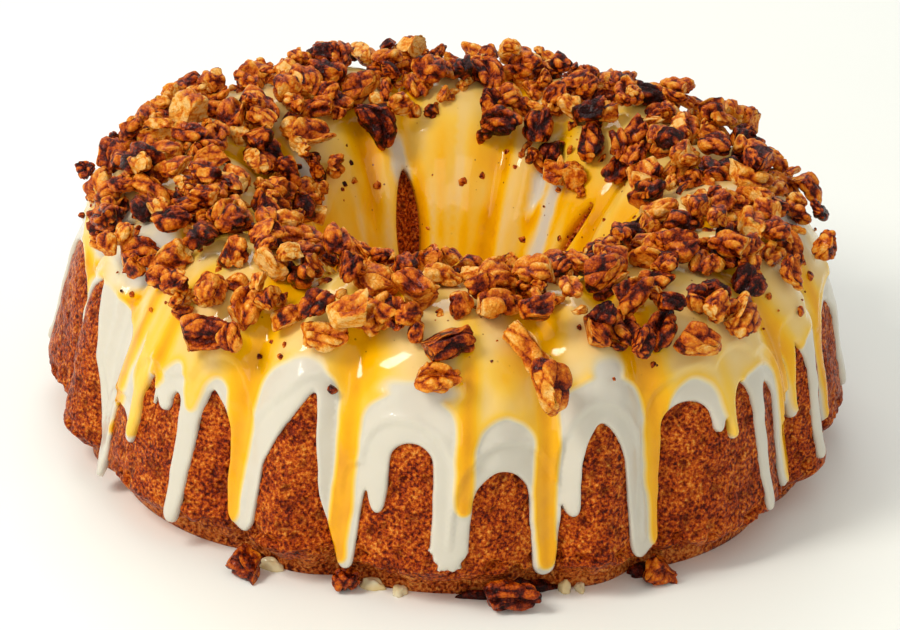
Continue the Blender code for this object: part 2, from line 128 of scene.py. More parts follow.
FRONT_RUNS = [
    run(-78.5, 6 * MM, 18 * MM, 60 * MM),
    run(-54.8, 5 * MM, 21 * MM, 57 * MM, 2.6),
    run(-48.6, 4.5 * MM, 28 * MM, 55 * MM),
    run(-45.5, 5 * MM, 46 * MM, 55 * MM),
    run(-38.8, 4 * MM, 43 * MM, 56 * MM),
    run(-31.2, 8.5 * MM, 14 * MM, 65 * MM),
    run(-14.2, 6 * MM, 11 * MM, 62 * MM),
    run(2.6, 5 * MM, 30 * MM, 57 * MM),
    run(14.3, 6.5 * MM, 12 * MM, 65 * MM),
    run(31.6, 6.5 * MM, 13 * MM, 60 * MM),
    run(43.5, 4.5 * MM, 41 * MM, 57 * MM),
    run(58.6, 7.5 * MM, 15.5 * MM, 55 * MM),
    run(62.5, 4 * MM, 34 * MM, 56 * MM),
    run(78.0, 5 * MM, 17 * MM, 58 * MM),
]
RUN_SEED = 5

# Parts of the hole's wall that the icing leaves bare: angle, way, width, length and slant in degrees.
Bare = namedtuple("Bare", "angle way width length slant")
BARE_PATCHES = [
    Bare(-162.3, 143 * MM, 8 * MM, 42 * MM, 0.0),
    Bare(129.0, 134 * MM, 2.6 * MM, 24 * MM, 14.0),
]
# Parts of the icing that the caramel leaves white: angle, way, and how far it reaches both ways.
White = namedtuple("White", "angle way across along")
WHITE_PATCHES = [
    White(-63.0, 63 * MM, 12 * MM, 13 * MM),
    White(-77.0, 58 * MM, 9 * MM, 12 * MM),
    White(-22.0, 53 * MM, 7 * MM, 6 * MM),
    White(-5.0, 53 * MM, 13 * MM, 4 * MM),
    White(24.0, 57 * MM, 6 * MM, 5 * MM),
    White(88.0, 72 * MM, 12 * MM, 16 * MM),
    White(112.0, 62 * MM, 9 * MM, 14 * MM),
    White(142.5, 135 * MM, 4 * MM, 20 * MM),
    White(150.0, 118 * MM, 3 * MM, 16 * MM),
    White(-161.0, 122 * MM, 4 * MM, 12 * MM),
    White(-124.0, 118 * MM, 4 * MM, 14 * MM),
    White(-148.0, 70 * MM, 9 * MM, 14 * MM),
]

# --- Numbers from noise ---

HASH = np.array([73856093, 19349663, 83492791])
LOW_BITS = 0xFFFFFFFF


def scattered(cells, seed):
    """A random value from 0 to 1 for each whole-numbered cell, the same on each run."""
    mixed = (cells @ HASH + seed * 1013904223) & LOW_BITS
    mixed = ((mixed ^ (mixed >> 15)) * 2246822519) & LOW_BITS
    mixed = ((mixed ^ (mixed >> 13)) * 3266489917) & LOW_BITS
    return ((mixed ^ (mixed >> 16)) & 0xFFFFFF) / 0xFFFFFF


def smooth_noise(points, size, seed):
    """Random values from -1 to 1 that change smoothly over about this size."""
    cells = points / size
    corner = np.floor(cells).astype(np.int64)
    share = cells - corner
    share = share * share * (3 - 2 * share)
    total = np.zeros(len(cells))
    for steps in np.ndindex(2, 2, 2):
        weight = np.prod(np.where(steps, share, 1 - share), axis=1)
        total += weight * scattered(corner + steps, seed)
    return total * 2 - 1


def nearest_two(cells, seed):
    """Distances to the nearest and second nearest of points scattered one to a cell, and the nearest's
    own random value."""
    corner = np.floor(cells).astype(np.int64)
    near = np.full(len(cells), 9.0)
    second = near.copy()
    own = np.zeros(len(cells))
    for steps in np.ndindex(3, 3, 3):
        cell = corner + steps - 1
        middle = cell + np.stack([scattered(cell, seed + axis) for axis in range(3)], axis=1)
        away = np.linalg.norm(cells - middle, axis=1)
        second = np.minimum(second, np.maximum(away, near))
        own = np.where(away < near, scattered(cell, seed + 3), own)
        near = np.minimum(near, away)
    return near, second, own


def pits(points, size, seed):
    """How deep each point lies in round pits, from 0 to 1, about one pit to a cell of this size."""
    near, _, own = nearest_two(points / size, seed)
    return np.clip(1 - near / (0.25 + 0.35 * own), 0, 1)


def ease(value, start, end):
    """0 at start and 1 at end, with a soft turn at both."""
    share = np.clip((value - start) / (end - start), 0, 1)
    return share * share * (3 - 2 * share)


# --- The surface that everything follows ---


def ridge_line():
    """The outline at a ridge, as (radius, height): from below the skirt, over the crown, down the hole."""
    skirt = Vector((RIDGE_RADIUS, SKIRT_HEIGHT))
    shoulder = Vector((RIDGE_RADIUS - WALL_LEAN, SHOULDER_HEIGHT))
    crown = Vector((CROWN_RADIUS, CROWN_HEIGHT))
    throat = Vector((THROAT_RADIUS, THROAT_HEIGHT))
    foot = Vector((HOLE_RADIUS, 0.0))
    up_wall = (shoulder - skirt) / (SHOULDER_HEIGHT - SKIRT_HEIGHT)
    up_hole = (throat - foot) / THROAT_HEIGHT
    outer = (
        shoulder,
        shoulder + up_wall * 0.62 * (CROWN_HEIGHT - SHOULDER_HEIGHT),
        crown + Vector((0.55 * (shoulder.x - crown.x), 0.0)),
        crown,
    )
    inner = (
        crown,
        crown - Vector((0.6 * (crown.x - throat.x), 0.0)),
        throat + up_hole * 0.5 * (CROWN_HEIGHT - THROAT_HEIGHT),
        throat,
    )
    points = [skirt - up_wall * HANG, skirt]
    points += interpolate_bezier(*outer, 48)
    points += interpolate_bezier(*inner, 48)[1:]
    points.append(foot)
    return np.array([tuple(point[:2]) for point in points])


LINE = ridge_line()
WAYS = np.concatenate([[0.0], np.cumsum(np.hypot(*np.diff(LINE, axis=0).T))])
WAYS -= WAYS[1]
WHOLE_WAY = WAYS[-1]
SLOPES = np.gradient(LINE, axis=0)
OUTWARD = np.stack([SLOPES[:, 1], -SLOPES[:, 0]], axis=1) / np.hypot(*SLOPES.T)[:, None]
CREST = int(np.argmax(LINE[:, 1]))
HOLE_EDGE = WHOLE_WAY - HOLE_EDGE_HEIGHT


def flute_press(angle):
    """How far the surface is pressed in at this angle, from 0 on a ridge to 1 in a valley."""
    turn = (angle + WIDE_FLUTE / 2) % (WIDE_FLUTE + NARROW_FLUTE) - WIDE_FLUTE / 2
    middle = (WIDE_FLUTE + NARROW_FLUTE) / 2
    wide = np.abs(turn / (WIDE_FLUTE / 2)) ** 2.4
    narrow = np.abs((turn - middle) / (NARROW_FLUTE / 2)) ** 1.8
    return np.where(turn < WIDE_FLUTE / 2, wide, narrow)


PRESS_STEP = 0.05
PRESS_ANGLES = np.arange(0, WIDE_FLUTE + NARROW_FLUTE, PRESS_STEP)


def rounded_press(angle, rounding):
    """The same, with valleys and ridges rounded off over this many degrees."""
    offsets = np.arange(-3, 3.01, 0.25)
    weights = np.exp(-(offsets**2) / 2)
    table = sum(
        weight * flute_press(PRESS_ANGLES + offset * rounding)
        for weight, offset in zip(weights, offsets)
    )
    period = WIDE_FLUTE + NARROW_FLUTE
    return np.interp(np.mod(angle, period), PRESS_ANGLES, table / weights.sum(), period=period)


def on_circle(angle, radius, height):
    turn = np.radians(angle)
    height = np.broadcast_to(height, np.broadcast(turn, radius, height).shape)
    return np.stack([radius * np.sin(turn), -radius * np.cos(turn), height], axis=-1)


def along_line(way):
    """Radius, height, and the two parts of the outward direction, at this way."""
    columns = (LINE[:, 0], LINE[:, 1], OUTWARD[:, 0], OUTWARD[:, 1])
    return [np.interp(way, WAYS, column) for column in columns]


def on_cake(angle, way, lift=0.0, press=None):
    """The points of the cake's surface at these angles and ways, raised off it by lift."""
    radius, height, out, up = along_line(way)
    depth = FLUTE_DEPTH * np.clip(radius / RIDGE_RADIUS, SHALLOWEST, 1)
    raised = lift - depth * (flute_press(angle) if press is None else press)
    return on_circle(angle, radius + out * raised, height + up * raised)


def outward_at(angle, way):
    """The outward direction of the unfluted ring."""
    _, _, out, up = along_line(way)
    return on_circle(angle, out, up)


def way_at(height):
    """The way up the outer wall to this height."""
    return np.interp(height, LINE[: CREST + 1, 1], WAYS[: CREST + 1])


# --- Making pieces ---


def mesh_object(name, points, faces, look, smooth=True):
    mesh = bpy.data.meshes.new(name)
    mesh.from_pydata(np.asarray(points).tolist(), [], faces)
    if smooth:
        mesh.shade_smooth()
    mesh.materials.append(look)
    made = bpy.data.objects.new(name, mesh)
    bpy.context.scene.collection.objects.link(made)
    return made


def add_values(thing, name, values):
    """Stores a number at each corner point, for the material to read."""
    layer = thing.data.attributes.new(name, "FLOAT", "POINT")
    layer.data.foreach_set("value", np.asarray(values, dtype=np.float32))


def finish_piece(thing, slot, *nodes):
    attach(thing, "root")
    if nodes:
        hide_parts(*nodes)


# --- Materials ---


def linear(hex_color):
    """The linear colour of an sRGB hex value."""
    parts = [int(hex_color[i : i + 2], 16) / 255 for i in (1, 3, 5)]
    toned = [p / 12.92 if p <= 0.04045 else ((p + 0.055) / 1.055) ** 2.4 for p in parts]
    return (*toned, 1.0)


def new_material(name):
    made = bpy.data.materials.new(name)
    made.use_nodes = True
    return made, made.node_tree.nodes["Principled BSDF"]


def add_node(made, kind, settings=None, links=None):
    """Adds a node. A setting or link is named by its socket or property; a link is (node, output)."""
    node = made.node_tree.nodes.new("ShaderNode" + kind)
    for name, value in (settings or {}).items():
        if isinstance(name, int) or name in node.inputs:
            node.inputs[name].default_value = value
        else:
            setattr(node, name, value)
    for name, (source, output) in (links or {}).items():
        made.node_tree.links.new(source.outputs[output], node.inputs[name])
    return node


def set_ramp(node, stops):
    """Gives a colour ramp these stops, each a place and a hex colour."""
    stop_list = node.color_ramp.elements
    while len(stop_list) < len(stops):
        stop_list.new(1.0)
    for stop, (place, hex_color) in zip(stop_list, stops):
        stop.position = place
        stop.color = linear(hex_color)


def set_shader(shader, **values):
    for name, value in values.items():
        shader.inputs[name.replace("_", " ")].default_value = value


def link_shader(made, shader, **sources):
    """Feeds the shader's sockets from nodes, each given as (node, output)."""
    for name, (source, output) in sources.items():
        made.node_tree.links.new(source.outputs[output], shader.inputs[name.replace("_", " ")])


def noise(made, place, size, detail=3.0, roughness=0.6):
    """Noise whose features are about this many metres across."""
    settings = {"Scale": 1 / size, "Detail": detail, "Roughness": roughness}
    return add_node(made, "TexNoise", settings, {"Vector": (place, "Object")})


def browned_crust():
    """Baked cake. An orange brown, dark red with painted shade between small moist crumbs that glint and
    in its pits, blotchy here and there, and lighter where the edge tore off the pan."""
    made, shader = new_material("cake crust, baked brown in a greased pan")
    place = add_node(made, "TexCoord")
    blotch = noise(made, place, 8 * MM, 3.0)
    grain = noise(made, place, 1.0 * MM, 2.5, 0.65)
    crumb = add_node(
        made,
        "TexVoronoi",
        {"Scale": 1 / (1.35 * MM), "Randomness": 1.0},
        {"Vector": (place, "Object")},
    )
    # Blotches, grain and a painted shade in the gaps between crumbs together choose one tone.
    coarse = add_node(
        made, "Math", {"operation": "MULTIPLY_ADD", 1: 0.6, 2: -0.42}, {0: (blotch, "Fac")}
    )
    level = add_node(
        made, "Math", {"operation": "MULTIPLY_ADD", 1: 1.5}, {0: (grain, "Fac"), 2: (coarse, 0)}
    )
    # Painted shade: darker away from the crumbs' middles, where the bump lies low.
    shade_between_crumbs = add_node(
        made, "Math", {"operation": "MULTIPLY_ADD", 1: -0.26, 2: 0.04}, {0: (crumb, "Distance")}
    )
    toned = add_node(made, "Math", {"operation": "ADD"}, {0: (level, 0), 1: (shade_between_crumbs, 0)})
    browned = add_node(made, "ValToRGB", links={"Fac": (toned, 0)})
    set_ramp(
        browned,
        [
            (0.22, "#3F0900"),
            (0.38, "#761F02"),
            (0.50, "#9E3806"),
            (0.62, "#BC520C"),
            (0.76, "#D6721F"),
            (0.92, "#E89A42"),
        ],
    )
    # Painted shade: darker still in the pits that the crust's surface is dented with.
    pit = add_node(made, "Attribute", {"attribute_name": "pit"})
    shaded_in_pits = add_node(
        made,
        "Mix",
        {"data_type": "RGBA", 7: linear("#430D00")},
        {0: (pit, "Fac"), 6: (browned, "Color")},
    )
    torn = add_node(made, "Attribute", {"attribute_name": "torn"})
    tan = add_node(made, "ValToRGB", links={"Fac": (toned, 0)})
    set_ramp(tan, [(0.24, "#4C1002"), (0.42, "#97380B"), (0.58, "#C4611F"), (0.82, "#E29044")])
    both = add_node(
        made,
        "Mix",
        {"data_type": "RGBA"},
        {0: (torn, "Fac"), 6: (shaded_in_pits, 2), 7: (tan, "Color")},
    )
    height = add_node(
        made, "Math", {"operation": "MULTIPLY_ADD", 1: -0.8}, {0: (crumb, "Distance"), 2: (grain, "Fac")}
    )
    bump = add_node(made, "Bump", {"Strength": 1.0, "Distance": 0.9 * MM}, {"Height": (height, 0)})
    link_shader(made, shader, Base_Color=(both, 2), Normal=(bump, "Normal"))
    set_shader(shader, Roughness=0.28, IOR=1.42, Specular_IOR_Level=0.12)
    set_shader(shader, Subsurface_Weight=0.05, Subsurface_Scale=1 * MM)
    shader.inputs["Subsurface Radius"].default_value = (1.0, 0.4, 0.15)
    return made


def poured_icing():
    """Sugar icing that set white and smooth. The caramel poured over it is a pale opaque film on the
    ridges and a clear deep amber where it ran and pooled, and gives the sharp highlights."""
    made, shader = new_material("sugar icing, poured, with caramel poured over it")
    film = add_node(made, "Attribute", {"attribute_name": "caramel"})
    place = add_node(made, "TexCoord")
    cloud = noise(made, place, 9 * MM)
    uneven = add_node(
        made, "Math", {"operation": "MULTIPLY_ADD", 1: 0.22, 2: -0.11}, {0: (cloud, "Fac")}
    )
    # Where there is no caramel the icing stays white, so the unevenness goes with the film.
    masked = add_node(made, "Math", {"operation": "MULTIPLY"}, {0: (uneven, 0), 1: (film, "Fac")})
    depth = add_node(made, "Math", {"operation": "ADD"}, {0: (film, "Fac"), 1: (masked, 0)})
    color = add_node(made, "ValToRGB", links={"Fac": (depth, 0)})
    set_ramp(
        color,
        [
            (0.00, "#D0C9B9"),
            (0.10, "#E0D0A6"),
            (0.28, "#E8C67C"),
            (0.46, "#EEC046"),
            (0.66, "#F1B408"),
            (0.84, "#EAA401"),
            (1.00, "#D38901"),
        ],
    )
    dust = add_node(
        made,
        "TexVoronoi",
        {"Scale": 1 / (4 * MM), "Randomness": 1.0},
        {"Vector": (place, "Object")},
    )
    speck = add_node(
        made,
        "MapRange",
        {"From Min": 0.06, "From Max": 0.10, "To Min": 1.0, "To Max": 0.0},
        {"Value": (dust, "Distance")},
    )
    near = add_node(made, "Attribute", {"attribute_name": "dusty"})
    showing = add_node(made, "Math", {"operation": "MULTIPLY"}, {0: (speck, 0), 1: (near, "Fac")})
    specked = add_node(
        made,
        "Mix",
        {"data_type": "RGBA", 7: linear("#7C3E0E")},
        {0: (showing, 0), 6: (color, "Color")},
    )
    ripple = noise(made, place, 6 * MM, 1.0, 0.5)
    bump = add_node(made, "Bump", {"Strength": 0.35, "Distance": 0.4 * MM}, {"Height": (ripple, "Fac")})
    gloss = add_node(
        made,
        "MapRange",
        {"From Min": 0.0, "From Max": 0.4, "To Min": 0.30, "To Max": 0.08},
        {"Value": (film, "Fac")},
    )
    link_shader(
        made,
        shader,
        Base_Color=(specked, 2),
        Roughness=(gloss, 0),
        Normal=(bump, "Normal"),
    )
    set_shader(shader, IOR=1.49, Specular_IOR_Level=0.2, Coat_Weight=0.3, Coat_Roughness=0.03)
    set_shader(shader, Subsurface_Weight=0.1, Subsurface_Scale=1.2 * MM)
    shader.inputs["Subsurface Radius"].default_value = (1.0, 0.7, 0.35)
    return made


def candied_pecan():
    """Roasted pecan in a boiled sugar coat. Smooth orange brown lobes, near black with painted shade in
    the creases between them, golden where it broke, finely wrinkled, and sticky enough to glint."""
    made, shader = new_material("pecan, roasted and candied")
    place = add_node(made, "TexCoord")
    # The tone carries each piece's roast and a painted shade of its creases and lobes.
    tone = add_node(made, "Attribute", {"attribute_name": "tone"})
    fleck = noise(made, place, 1.9 * MM, 4.0, 0.65)
    wrinkle = add_node(
        made,
        "TexVoronoi",
        {"feature": "DISTANCE_TO_EDGE", "Scale": 1 / (1.5 * MM), "Randomness": 1.0},
        {"Vector": (place, "Object")},
    )
    # Painted shade: darker along the wrinkles' edges, where the bump lies low.
    fold_depth_and_shade = add_node(
        made,
        "MapRange",
        {"From Min": 0.0, "From Max": 0.14, "To Min": -0.07, "To Max": 0.0},
        {"Value": (wrinkle, "Distance")},
    )
    shifted = add_node(
        made, "Math", {"operation": "MULTIPLY_ADD", 1: 1.1, 2: -0.55}, {0: (fleck, "Fac")}
    )
    flecked = add_node(made, "Math", {"operation": "ADD"}, {0: (tone, "Fac"), 1: (shifted, 0)})
    level = add_node(made, "Math", {"operation": "ADD"}, {0: (flecked, 0), 1: (fold_depth_and_shade, 0)})
    color = add_node(made, "ValToRGB", links={"Fac": (level, 0)})
    set_ramp(
        color,
        [
            (0.00, "#220300"),
            (0.18, "#530F01"),
            (0.34, "#963304"),
            (0.50, "#C95E0B"),
            (0.66, "#E08119"),
            (0.82, "#EEA238"),
            (1.00, "#F3C271"),
        ],
    )
    sugar = noise(made, place, 1.0 * MM, 3.0, 0.6)
    height = add_node(
        made, "Math", {"operation": "MULTIPLY_ADD", 1: 3.0}, {0: (fold_depth_and_shade, 0), 2: (sugar, "Fac")}
    )
    bump = add_node(made, "Bump", {"Strength": 1.0, "Distance": 0.6 * MM}, {"Height": (height, 0)})
    link_shader(made, shader, Base_Color=(color, "Color"), Normal=(bump, "Normal"))
    set_shader(shader, Roughness=0.26, IOR=1.5, Specular_IOR_Level=0.12)
    set_shader(shader, Coat_Weight=0.06, Coat_Roughness=0.05)
    set_shader(shader, Subsurface_Weight=0.05, Subsurface_Scale=1 * MM)
    shader.inputs["Subsurface Radius"].default_value = (1.0, 0.4, 0.15)
    return made


def matt_white():
    """A plain floor, painted and matt."""
    made, shader = new_material("floor, painted matt white")
    place = add_node(made, "TexCoord")
    haze = noise(made, place, 0.35)
    tint = add_node(made, "ValToRGB", links={"Fac": (haze, "Fac")})
    set_ramp(tint, [(0.3, "#F4F5EE"), (0.7, "#F8F9F2")])
    link_shader(made, shader, Base_Color=(tint, "Color"))
    set_shader(shader, Roughness=0.55)
    return made


# --- Crust ---

AROUND = 800  # points round the cake
BARE_WAY = 58 * MM  # the crust shows up to here
ROW_STEP = 0.95 * MM


def crust_sink(points):
    """How far the baked surface lies inside the pan's form, in slow hollows and small lumps."""
    hollow = ease(smooth_noise(points, 22 * MM, 2), -0.6, 0.8) * 0.7 * MM
    lumps = ease(smooth_noise(points, 5 * MM, 3), -0.8, 0.8) * 0.45 * MM
    return hollow + lumps


def crust_ways():
    """The ways of the rows: close where the crust shows, and far apart under the icing."""
    shown = np.arange(0, BARE_WAY, ROW_STEP)
    hidden = np.arange(BARE_WAY, 118 * MM, 6 * MM)
    hole = np.arange(118 * MM, 170 * MM, 2.6 * MM)
    return np.concatenate([shown, hidden, hole, np.linspace(170 * MM, HOLE_EDGE, 5)])


def crust_grid():
    """The cake's surface as rows of points, from the skirt's edge over the crown and back underneath."""
    angles = np.arange(AROUND) * 360 / AROUND
    press = rounded_press(angles, 0.5)
    rows = [on_cake(angles, np.full(AROUND, way), press=press) for way in crust_ways()]
    skirt_edge = RIDGE_RADIUS - FOOT_ROUNDING - FLUTE_DEPTH * press
    # Underneath: the edge of the hole, the edge of the flat, the rounding, and the skirt again.
    turns = [
        (on_circle(angles, HOLE_RADIUS + FOOT_ROUNDING + FLUTE_DEPTH * SHALLOWEST * press, 0.0), 4),
        (on_circle(angles, FOOT_RADIUS - FLUTE_DEPTH / 2 * press, 0.0), 5),
        (on_circle(angles, skirt_edge, SKIRT_HEIGHT - FOOT_ROUNDING), 10),
        (rows[0], 5),
    ]
    for ring, steps in turns:
        start = rows[-1]
        rows += [start + (ring - start) * step / steps for step in range(1, steps + 1)]
    return np.array(rows[:-1])


def grid_outward(grid):
    """The outward direction at each point of a grid that closes on itself both ways."""
    around = np.roll(grid, -1, axis=1) - np.roll(grid, 1, axis=1)
    along = np.roll(grid, -1, axis=0) - np.roll(grid, 1, axis=0)
    out = np.cross(around, along)
    return out / np.maximum(np.linalg.norm(out, axis=2, keepdims=True), 1e-12)


def build_crust(look):
    grid = crust_grid()
    near_skirt = np.zeros(len(grid), bool)
    near_skirt[:4] = near_skirt[-14:] = True
    for _ in range(3):
        softened = (np.roll(grid, 1, axis=0) + grid + np.roll(grid, -1, axis=0)) / 3
        grid[near_skirt] = softened[near_skirt]
    out = grid_outward(grid).reshape(-1, 3)
    points = grid.reshape(-1, 3)
    radius = np.hypot(points[:, 0], points[:, 1])
    height = points[:, 2]
    edge_waver = 3 * MM * smooth_noise(points, 11 * MM, 1) + 1.6 * MM * smooth_noise(points, 3 * MM, 5)
    torn = 1 - ease(height + edge_waver, 5.5 * MM, 8.5 * MM)
    torn *= ease(radius, 60 * MM, 70 * MM)
    pit = pits(points, 4.4 * MM, 10) + 0.6 * pits(points, 2.8 * MM, 20)
    crumble = torn * (
        1.5 * MM * ease(smooth_noise(points, 2.6 * MM, 4), -0.6, 0.7)
        + 2.2 * MM * ease(smooth_noise(points, 9 * MM, 6), -0.3, 0.6)
    )
    at_skirt = ease(height, 6 * MM, 9 * MM) * (1 - ease(height, 13 * MM, 18 * MM))
    chipped = at_skirt * 2.6 * MM * ease(smooth_noise(points, 3.6 * MM, 7), 0.0, 0.6)
    in_hole = 1 - ease(radius, 50 * MM, 58 * MM)
    inward = (crust_sink(points) + pit * 0.9 * MM) * (1 - 0.85 * in_hole) + crumble + chipped
    standing = ease(height, 0.0, 3 * MM)  # the flat stays flat
    moved = points - out * (inward * standing)[:, None]
    moved[:, 2] = np.maximum(moved[:, 2], 0.0)
    count = len(grid)
    index = np.arange(count * AROUND).reshape(count, AROUND)
    after, right = np.roll(index, -1, axis=0), np.roll(index, -1, axis=1)
    across = np.roll(after, -1, axis=1)
    faces = np.stack([index, right, across, after], axis=-1).reshape(-1, 4)
    made = mesh_object("crust", moved, faces.tolist(), look)
    # The pits' depth goes to the material, which darkens them with painted shade.
    add_values(made, "pit", np.clip(pit, 0, 1) * 0.8)
    add_values(made, "torn", torn)
    finish_piece(made, "crumb", "cake")


# --- Edges of the icing and of the caramel ---

EDGE_STEP = 0.7 * MM


def back_drips():
    """The drips of the far side: one in each valley, and thinner ones on the wide flutes between."""
    rng = random.Random(DRIP_SEED)
    drips = []
    spacing = (BACK_END - BACK_START) / BACK_DRIPS
    for step in range(BACK_DRIPS):
        angle = BACK_START + spacing * (step + 0.5) + rng.uniform(-1.2, 1.2)
        in_valley = flute_press(angle) > 0.5
        width = rng.uniform(7, 11) * MM if in_valley else rng.uniform(4, 6) * MM
        tip = rng.uniform(9, 20) * MM if in_valley else rng.uniform(12, 38) * MM
        spread = rng.uniform(0.5, 4) * MM
        height = rng.uniform(49, 58) * MM
        rise = rng.uniform(4, 12) * MM
        apex = rng.uniform(0.35, 0.65)
        drips.append(Drip(angle, width, tip, spread, 0.0, height, rise, apex, rng.uniform(0, 0.5)))
    return drips


def back_runs():
    """The caramel's runs on the far side, down the wider drips of icing."""
    rng = random.Random(RUN_SEED)
    runs = []
    for drip in back_drips():
        if drip.width > 6.5 * MM or rng.random() < 0.25:
            width = drip.width * rng.uniform(0.6, 0.85)
            tip = drip.tip + rng.uniform(0.5, 9) * MM
            top = drip.height + rng.uniform(1, 7) * MM
            runs.append(run(drip.angle + rng.uniform(-0.8, 0.8), width, tip, top))
    return runs


def drip_side(drip, side):
    """The angle at which a drip's left (-1) or right (1) side meets the arch beside it."""
    return drip.angle + drip.lean + side * (drip.width + drip.spread) / 2 * ROUND_DEGREES


def drip_tip(drip):
    """Points round a drip's tip, from its left side to its right, as angles and heights."""
    turns = np.radians(np.linspace(180, 360, 11))
    tall = drip.width * 0.6
    angles = drip.angle + np.cos(turns) * drip.width / 2 * ROUND_DEGREES
    return list(zip(angles, drip.tip + tall + tall * np.sin(turns)))


def bare_arch(drip, after):
    """Points over the bare arch between a drip and the one after it."""
    start = drip_side(drip, 1)
    width = (drip_side(after, -1) - start) % 360
    share = np.linspace(0, 1, 25)
    climb = np.where(share < drip.apex, share / drip.apex, (1 - share) / (1 - drip.apex))
    curve = drip.point * climb + (1 - drip.point) * np.sqrt(1 - (1 - climb) ** 2)
    return list(zip(start + width * share, drip.height - drip.rise * (1 - curve)))


def lower_edge(drips, seed, waver):
    """The lower edge of what was poured, as angles and ways: round each drip's tip, then over an arch."""
    points = []
    for drip, after in zip(drips, drips[1:] + drips[:1]):
        points += drip_tip(drip) + bare_arch(drip, after)
    points = np.array(points)
    points[:, 0] /= ROUND_DEGREES
    angle, height = even_edge(points, 360 / ROUND_DEGREES, seed, waver)
    return angle, way_at(height)


def even_edge(points, around, seed, waver):
    """The same edge in even steps, wavering a little, rounded at its corners and ragged in one place."""
    closed = np.vstack([points, points[0] + (around, 0)])
    closed[:, 0] = np.unwrap(closed[:, 0], period=around)
    gone = np.concatenate([[0], np.cumsum(np.hypot(*np.diff(closed, axis=0).T))])
    even = np.linspace(0, gone[-1], int(gone[-1] / EDGE_STEP), endpoint=False)
    edge = np.stack([np.interp(even, gone, closed[:, axis]) for axis in (0, 1)], axis=1)
    spots = on_circle(edge[:, 0] * ROUND_DEGREES, RIDGE_RADIUS, edge[:, 1])
    for axis in (0, 1):
        edge[:, axis] += waver * smooth_noise(spots, 9 * MM, seed + axis)
        edge[:, axis] += waver * 0.45 * smooth_noise(spots, 3 * MM, seed + 5 + axis)
    kernel = np.exp(-(np.arange(-4, 5) ** 2) / 4.5)
    kernel /= kernel.sum()
    for axis, turn in ((0, around), (1, 0.0)):
        padded = np.concatenate([edge[-4:, axis] - turn, edge[:, axis], edge[:4, axis] + turn])
        edge[:, axis] = np.convolve(padded, kernel, "valid")
    ragged_angle, ragged_top = RAGGED
    away = (edge[:, 0] * ROUND_DEGREES - ragged_angle + 180) % 360 - 180
    ragged = np.exp(-((away / 4) ** 2)) * (1 - ease(edge[:, 1], ragged_top - 4 * MM, ragged_top))
    for axis in (0, 1):
        edge[:, axis] += ragged * 1.3 * MM * smooth_noise(spots, 1.6 * MM, seed + 10 + axis)
    return edge[:, 0] * ROUND_DEGREES, np.maximum(edge[:, 1], SKIRT_HEIGHT - HANG)


def flat_pattern(angle, way):
    """The poured sheet laid flat as a ring, with the hole's edge inside: a point's place on it."""
    return on_circle(angle, HOLE_RADIUS + WHOLE_WAY - way, 0.0)[..., :2]


def from_pattern(points):
    angle = np.degrees(np.arctan2(points[:, 0], -points[:, 1]))
    return angle, HOLE_RADIUS + WHOLE_WAY - np.hypot(points[:, 0], points[:, 1])


def inside(points, loop):
    """Which points of the pattern lie inside a closed loop."""
    found = np.zeros(len(points), bool)
    x, y = points[:, 0], points[:, 1]
    for (x0, y0), (x1, y1) in zip(loop, np.roll(loop, -1, axis=0)):
        if y0 == y1:
            continue
        rows = (y >= min(y0, y1)) & (y < max(y0, y1))
        crossing = x0 + (y[rows] - y0) * (x1 - x0) / (y1 - y0)
        found[rows] ^= x[rows] < crossing
    return found


def distances(points, targets):
    """The distance from each point to the nearest target, in space."""
    tree = KDTree(len(targets))
    for index, target in enumerate(targets):
        tree.insert(target, index)
    tree.balance()
    return np.array([tree.find(point)[2] for point in points])


def bare_loop(bare):
    """The edge of a bare patch in the hole, pointed at its ends, as angles and ways."""
    radius = along_line(bare.way)[0]
    turns = np.arange(0, 2 * math.pi, EDGE_STEP * 2 / bare.length)
    along = np.cos(turns) * bare.length / 2
    across = np.sin(turns) * np.abs(np.sin(turns)) ** 0.3 * bare.width / 2
    lean = math.radians(bare.slant)
    angle = bare.angle + np.degrees((across + along * math.tan(lean)) / radius)
    return angle, bare.way + along


def inset(angle, way, depth):
    """A loop moved to its left, into the sheet, by this depth."""
    radius = along_line(way)[0]
    across = (np.roll(angle, -1) - np.roll(angle, 1) + 180) % 360 - 180
    across = np.radians(across) * radius
    up = np.roll(way, -1) - np.roll(way, 1)
    size = np.maximum(np.hypot(across, up), 1e-9)
    return np.stack([angle - np.degrees(up / size * depth / radius), way + across / size * depth], axis=1)


# --- Icing ---

ICING_THICKNESS = 2.2 * MM  # on the crown
WALL_THICKNESS = 1.2 * MM  # of the lower part of the drips
EDGE_ROUNDING = 1.4 * MM
BURIED = 0.3 * MM  # how far the icing's edge sinks into the crust
UNDERSIDE = 2.6 * MM  # how far its hidden underside lies inside the cake
CARAMEL_THICKNESS = 0.5 * MM  # of the film, and again where it pools
VALLEY_ROUNDING = 1.1  # degrees
RIM_DEPTHS = (0.4 * MM, 0.95 * MM)  # rows of points that round the edge
RUN_NOISE = 40
RUN_WAVER = 0.8 * MM
RUN_BLEND = 0.85 * MM  # how far the caramel's edge thins out to both sides


def spread_points(start, end, across, along):
    """Points over the ring from one way to another, about this far apart, as angles and ways."""
    rows = []
    for number, way in enumerate(np.arange(start, end, along)):
        radius = along_line(way)[0]
        count = max(12, int(2 * math.pi * radius / across))
        angles = (np.arange(count) + 0.5 * (number % 2)) * 360 / count
        rows.append(np.stack([angles, np.full(count, way)], axis=1))
    return np.vstack(rows)


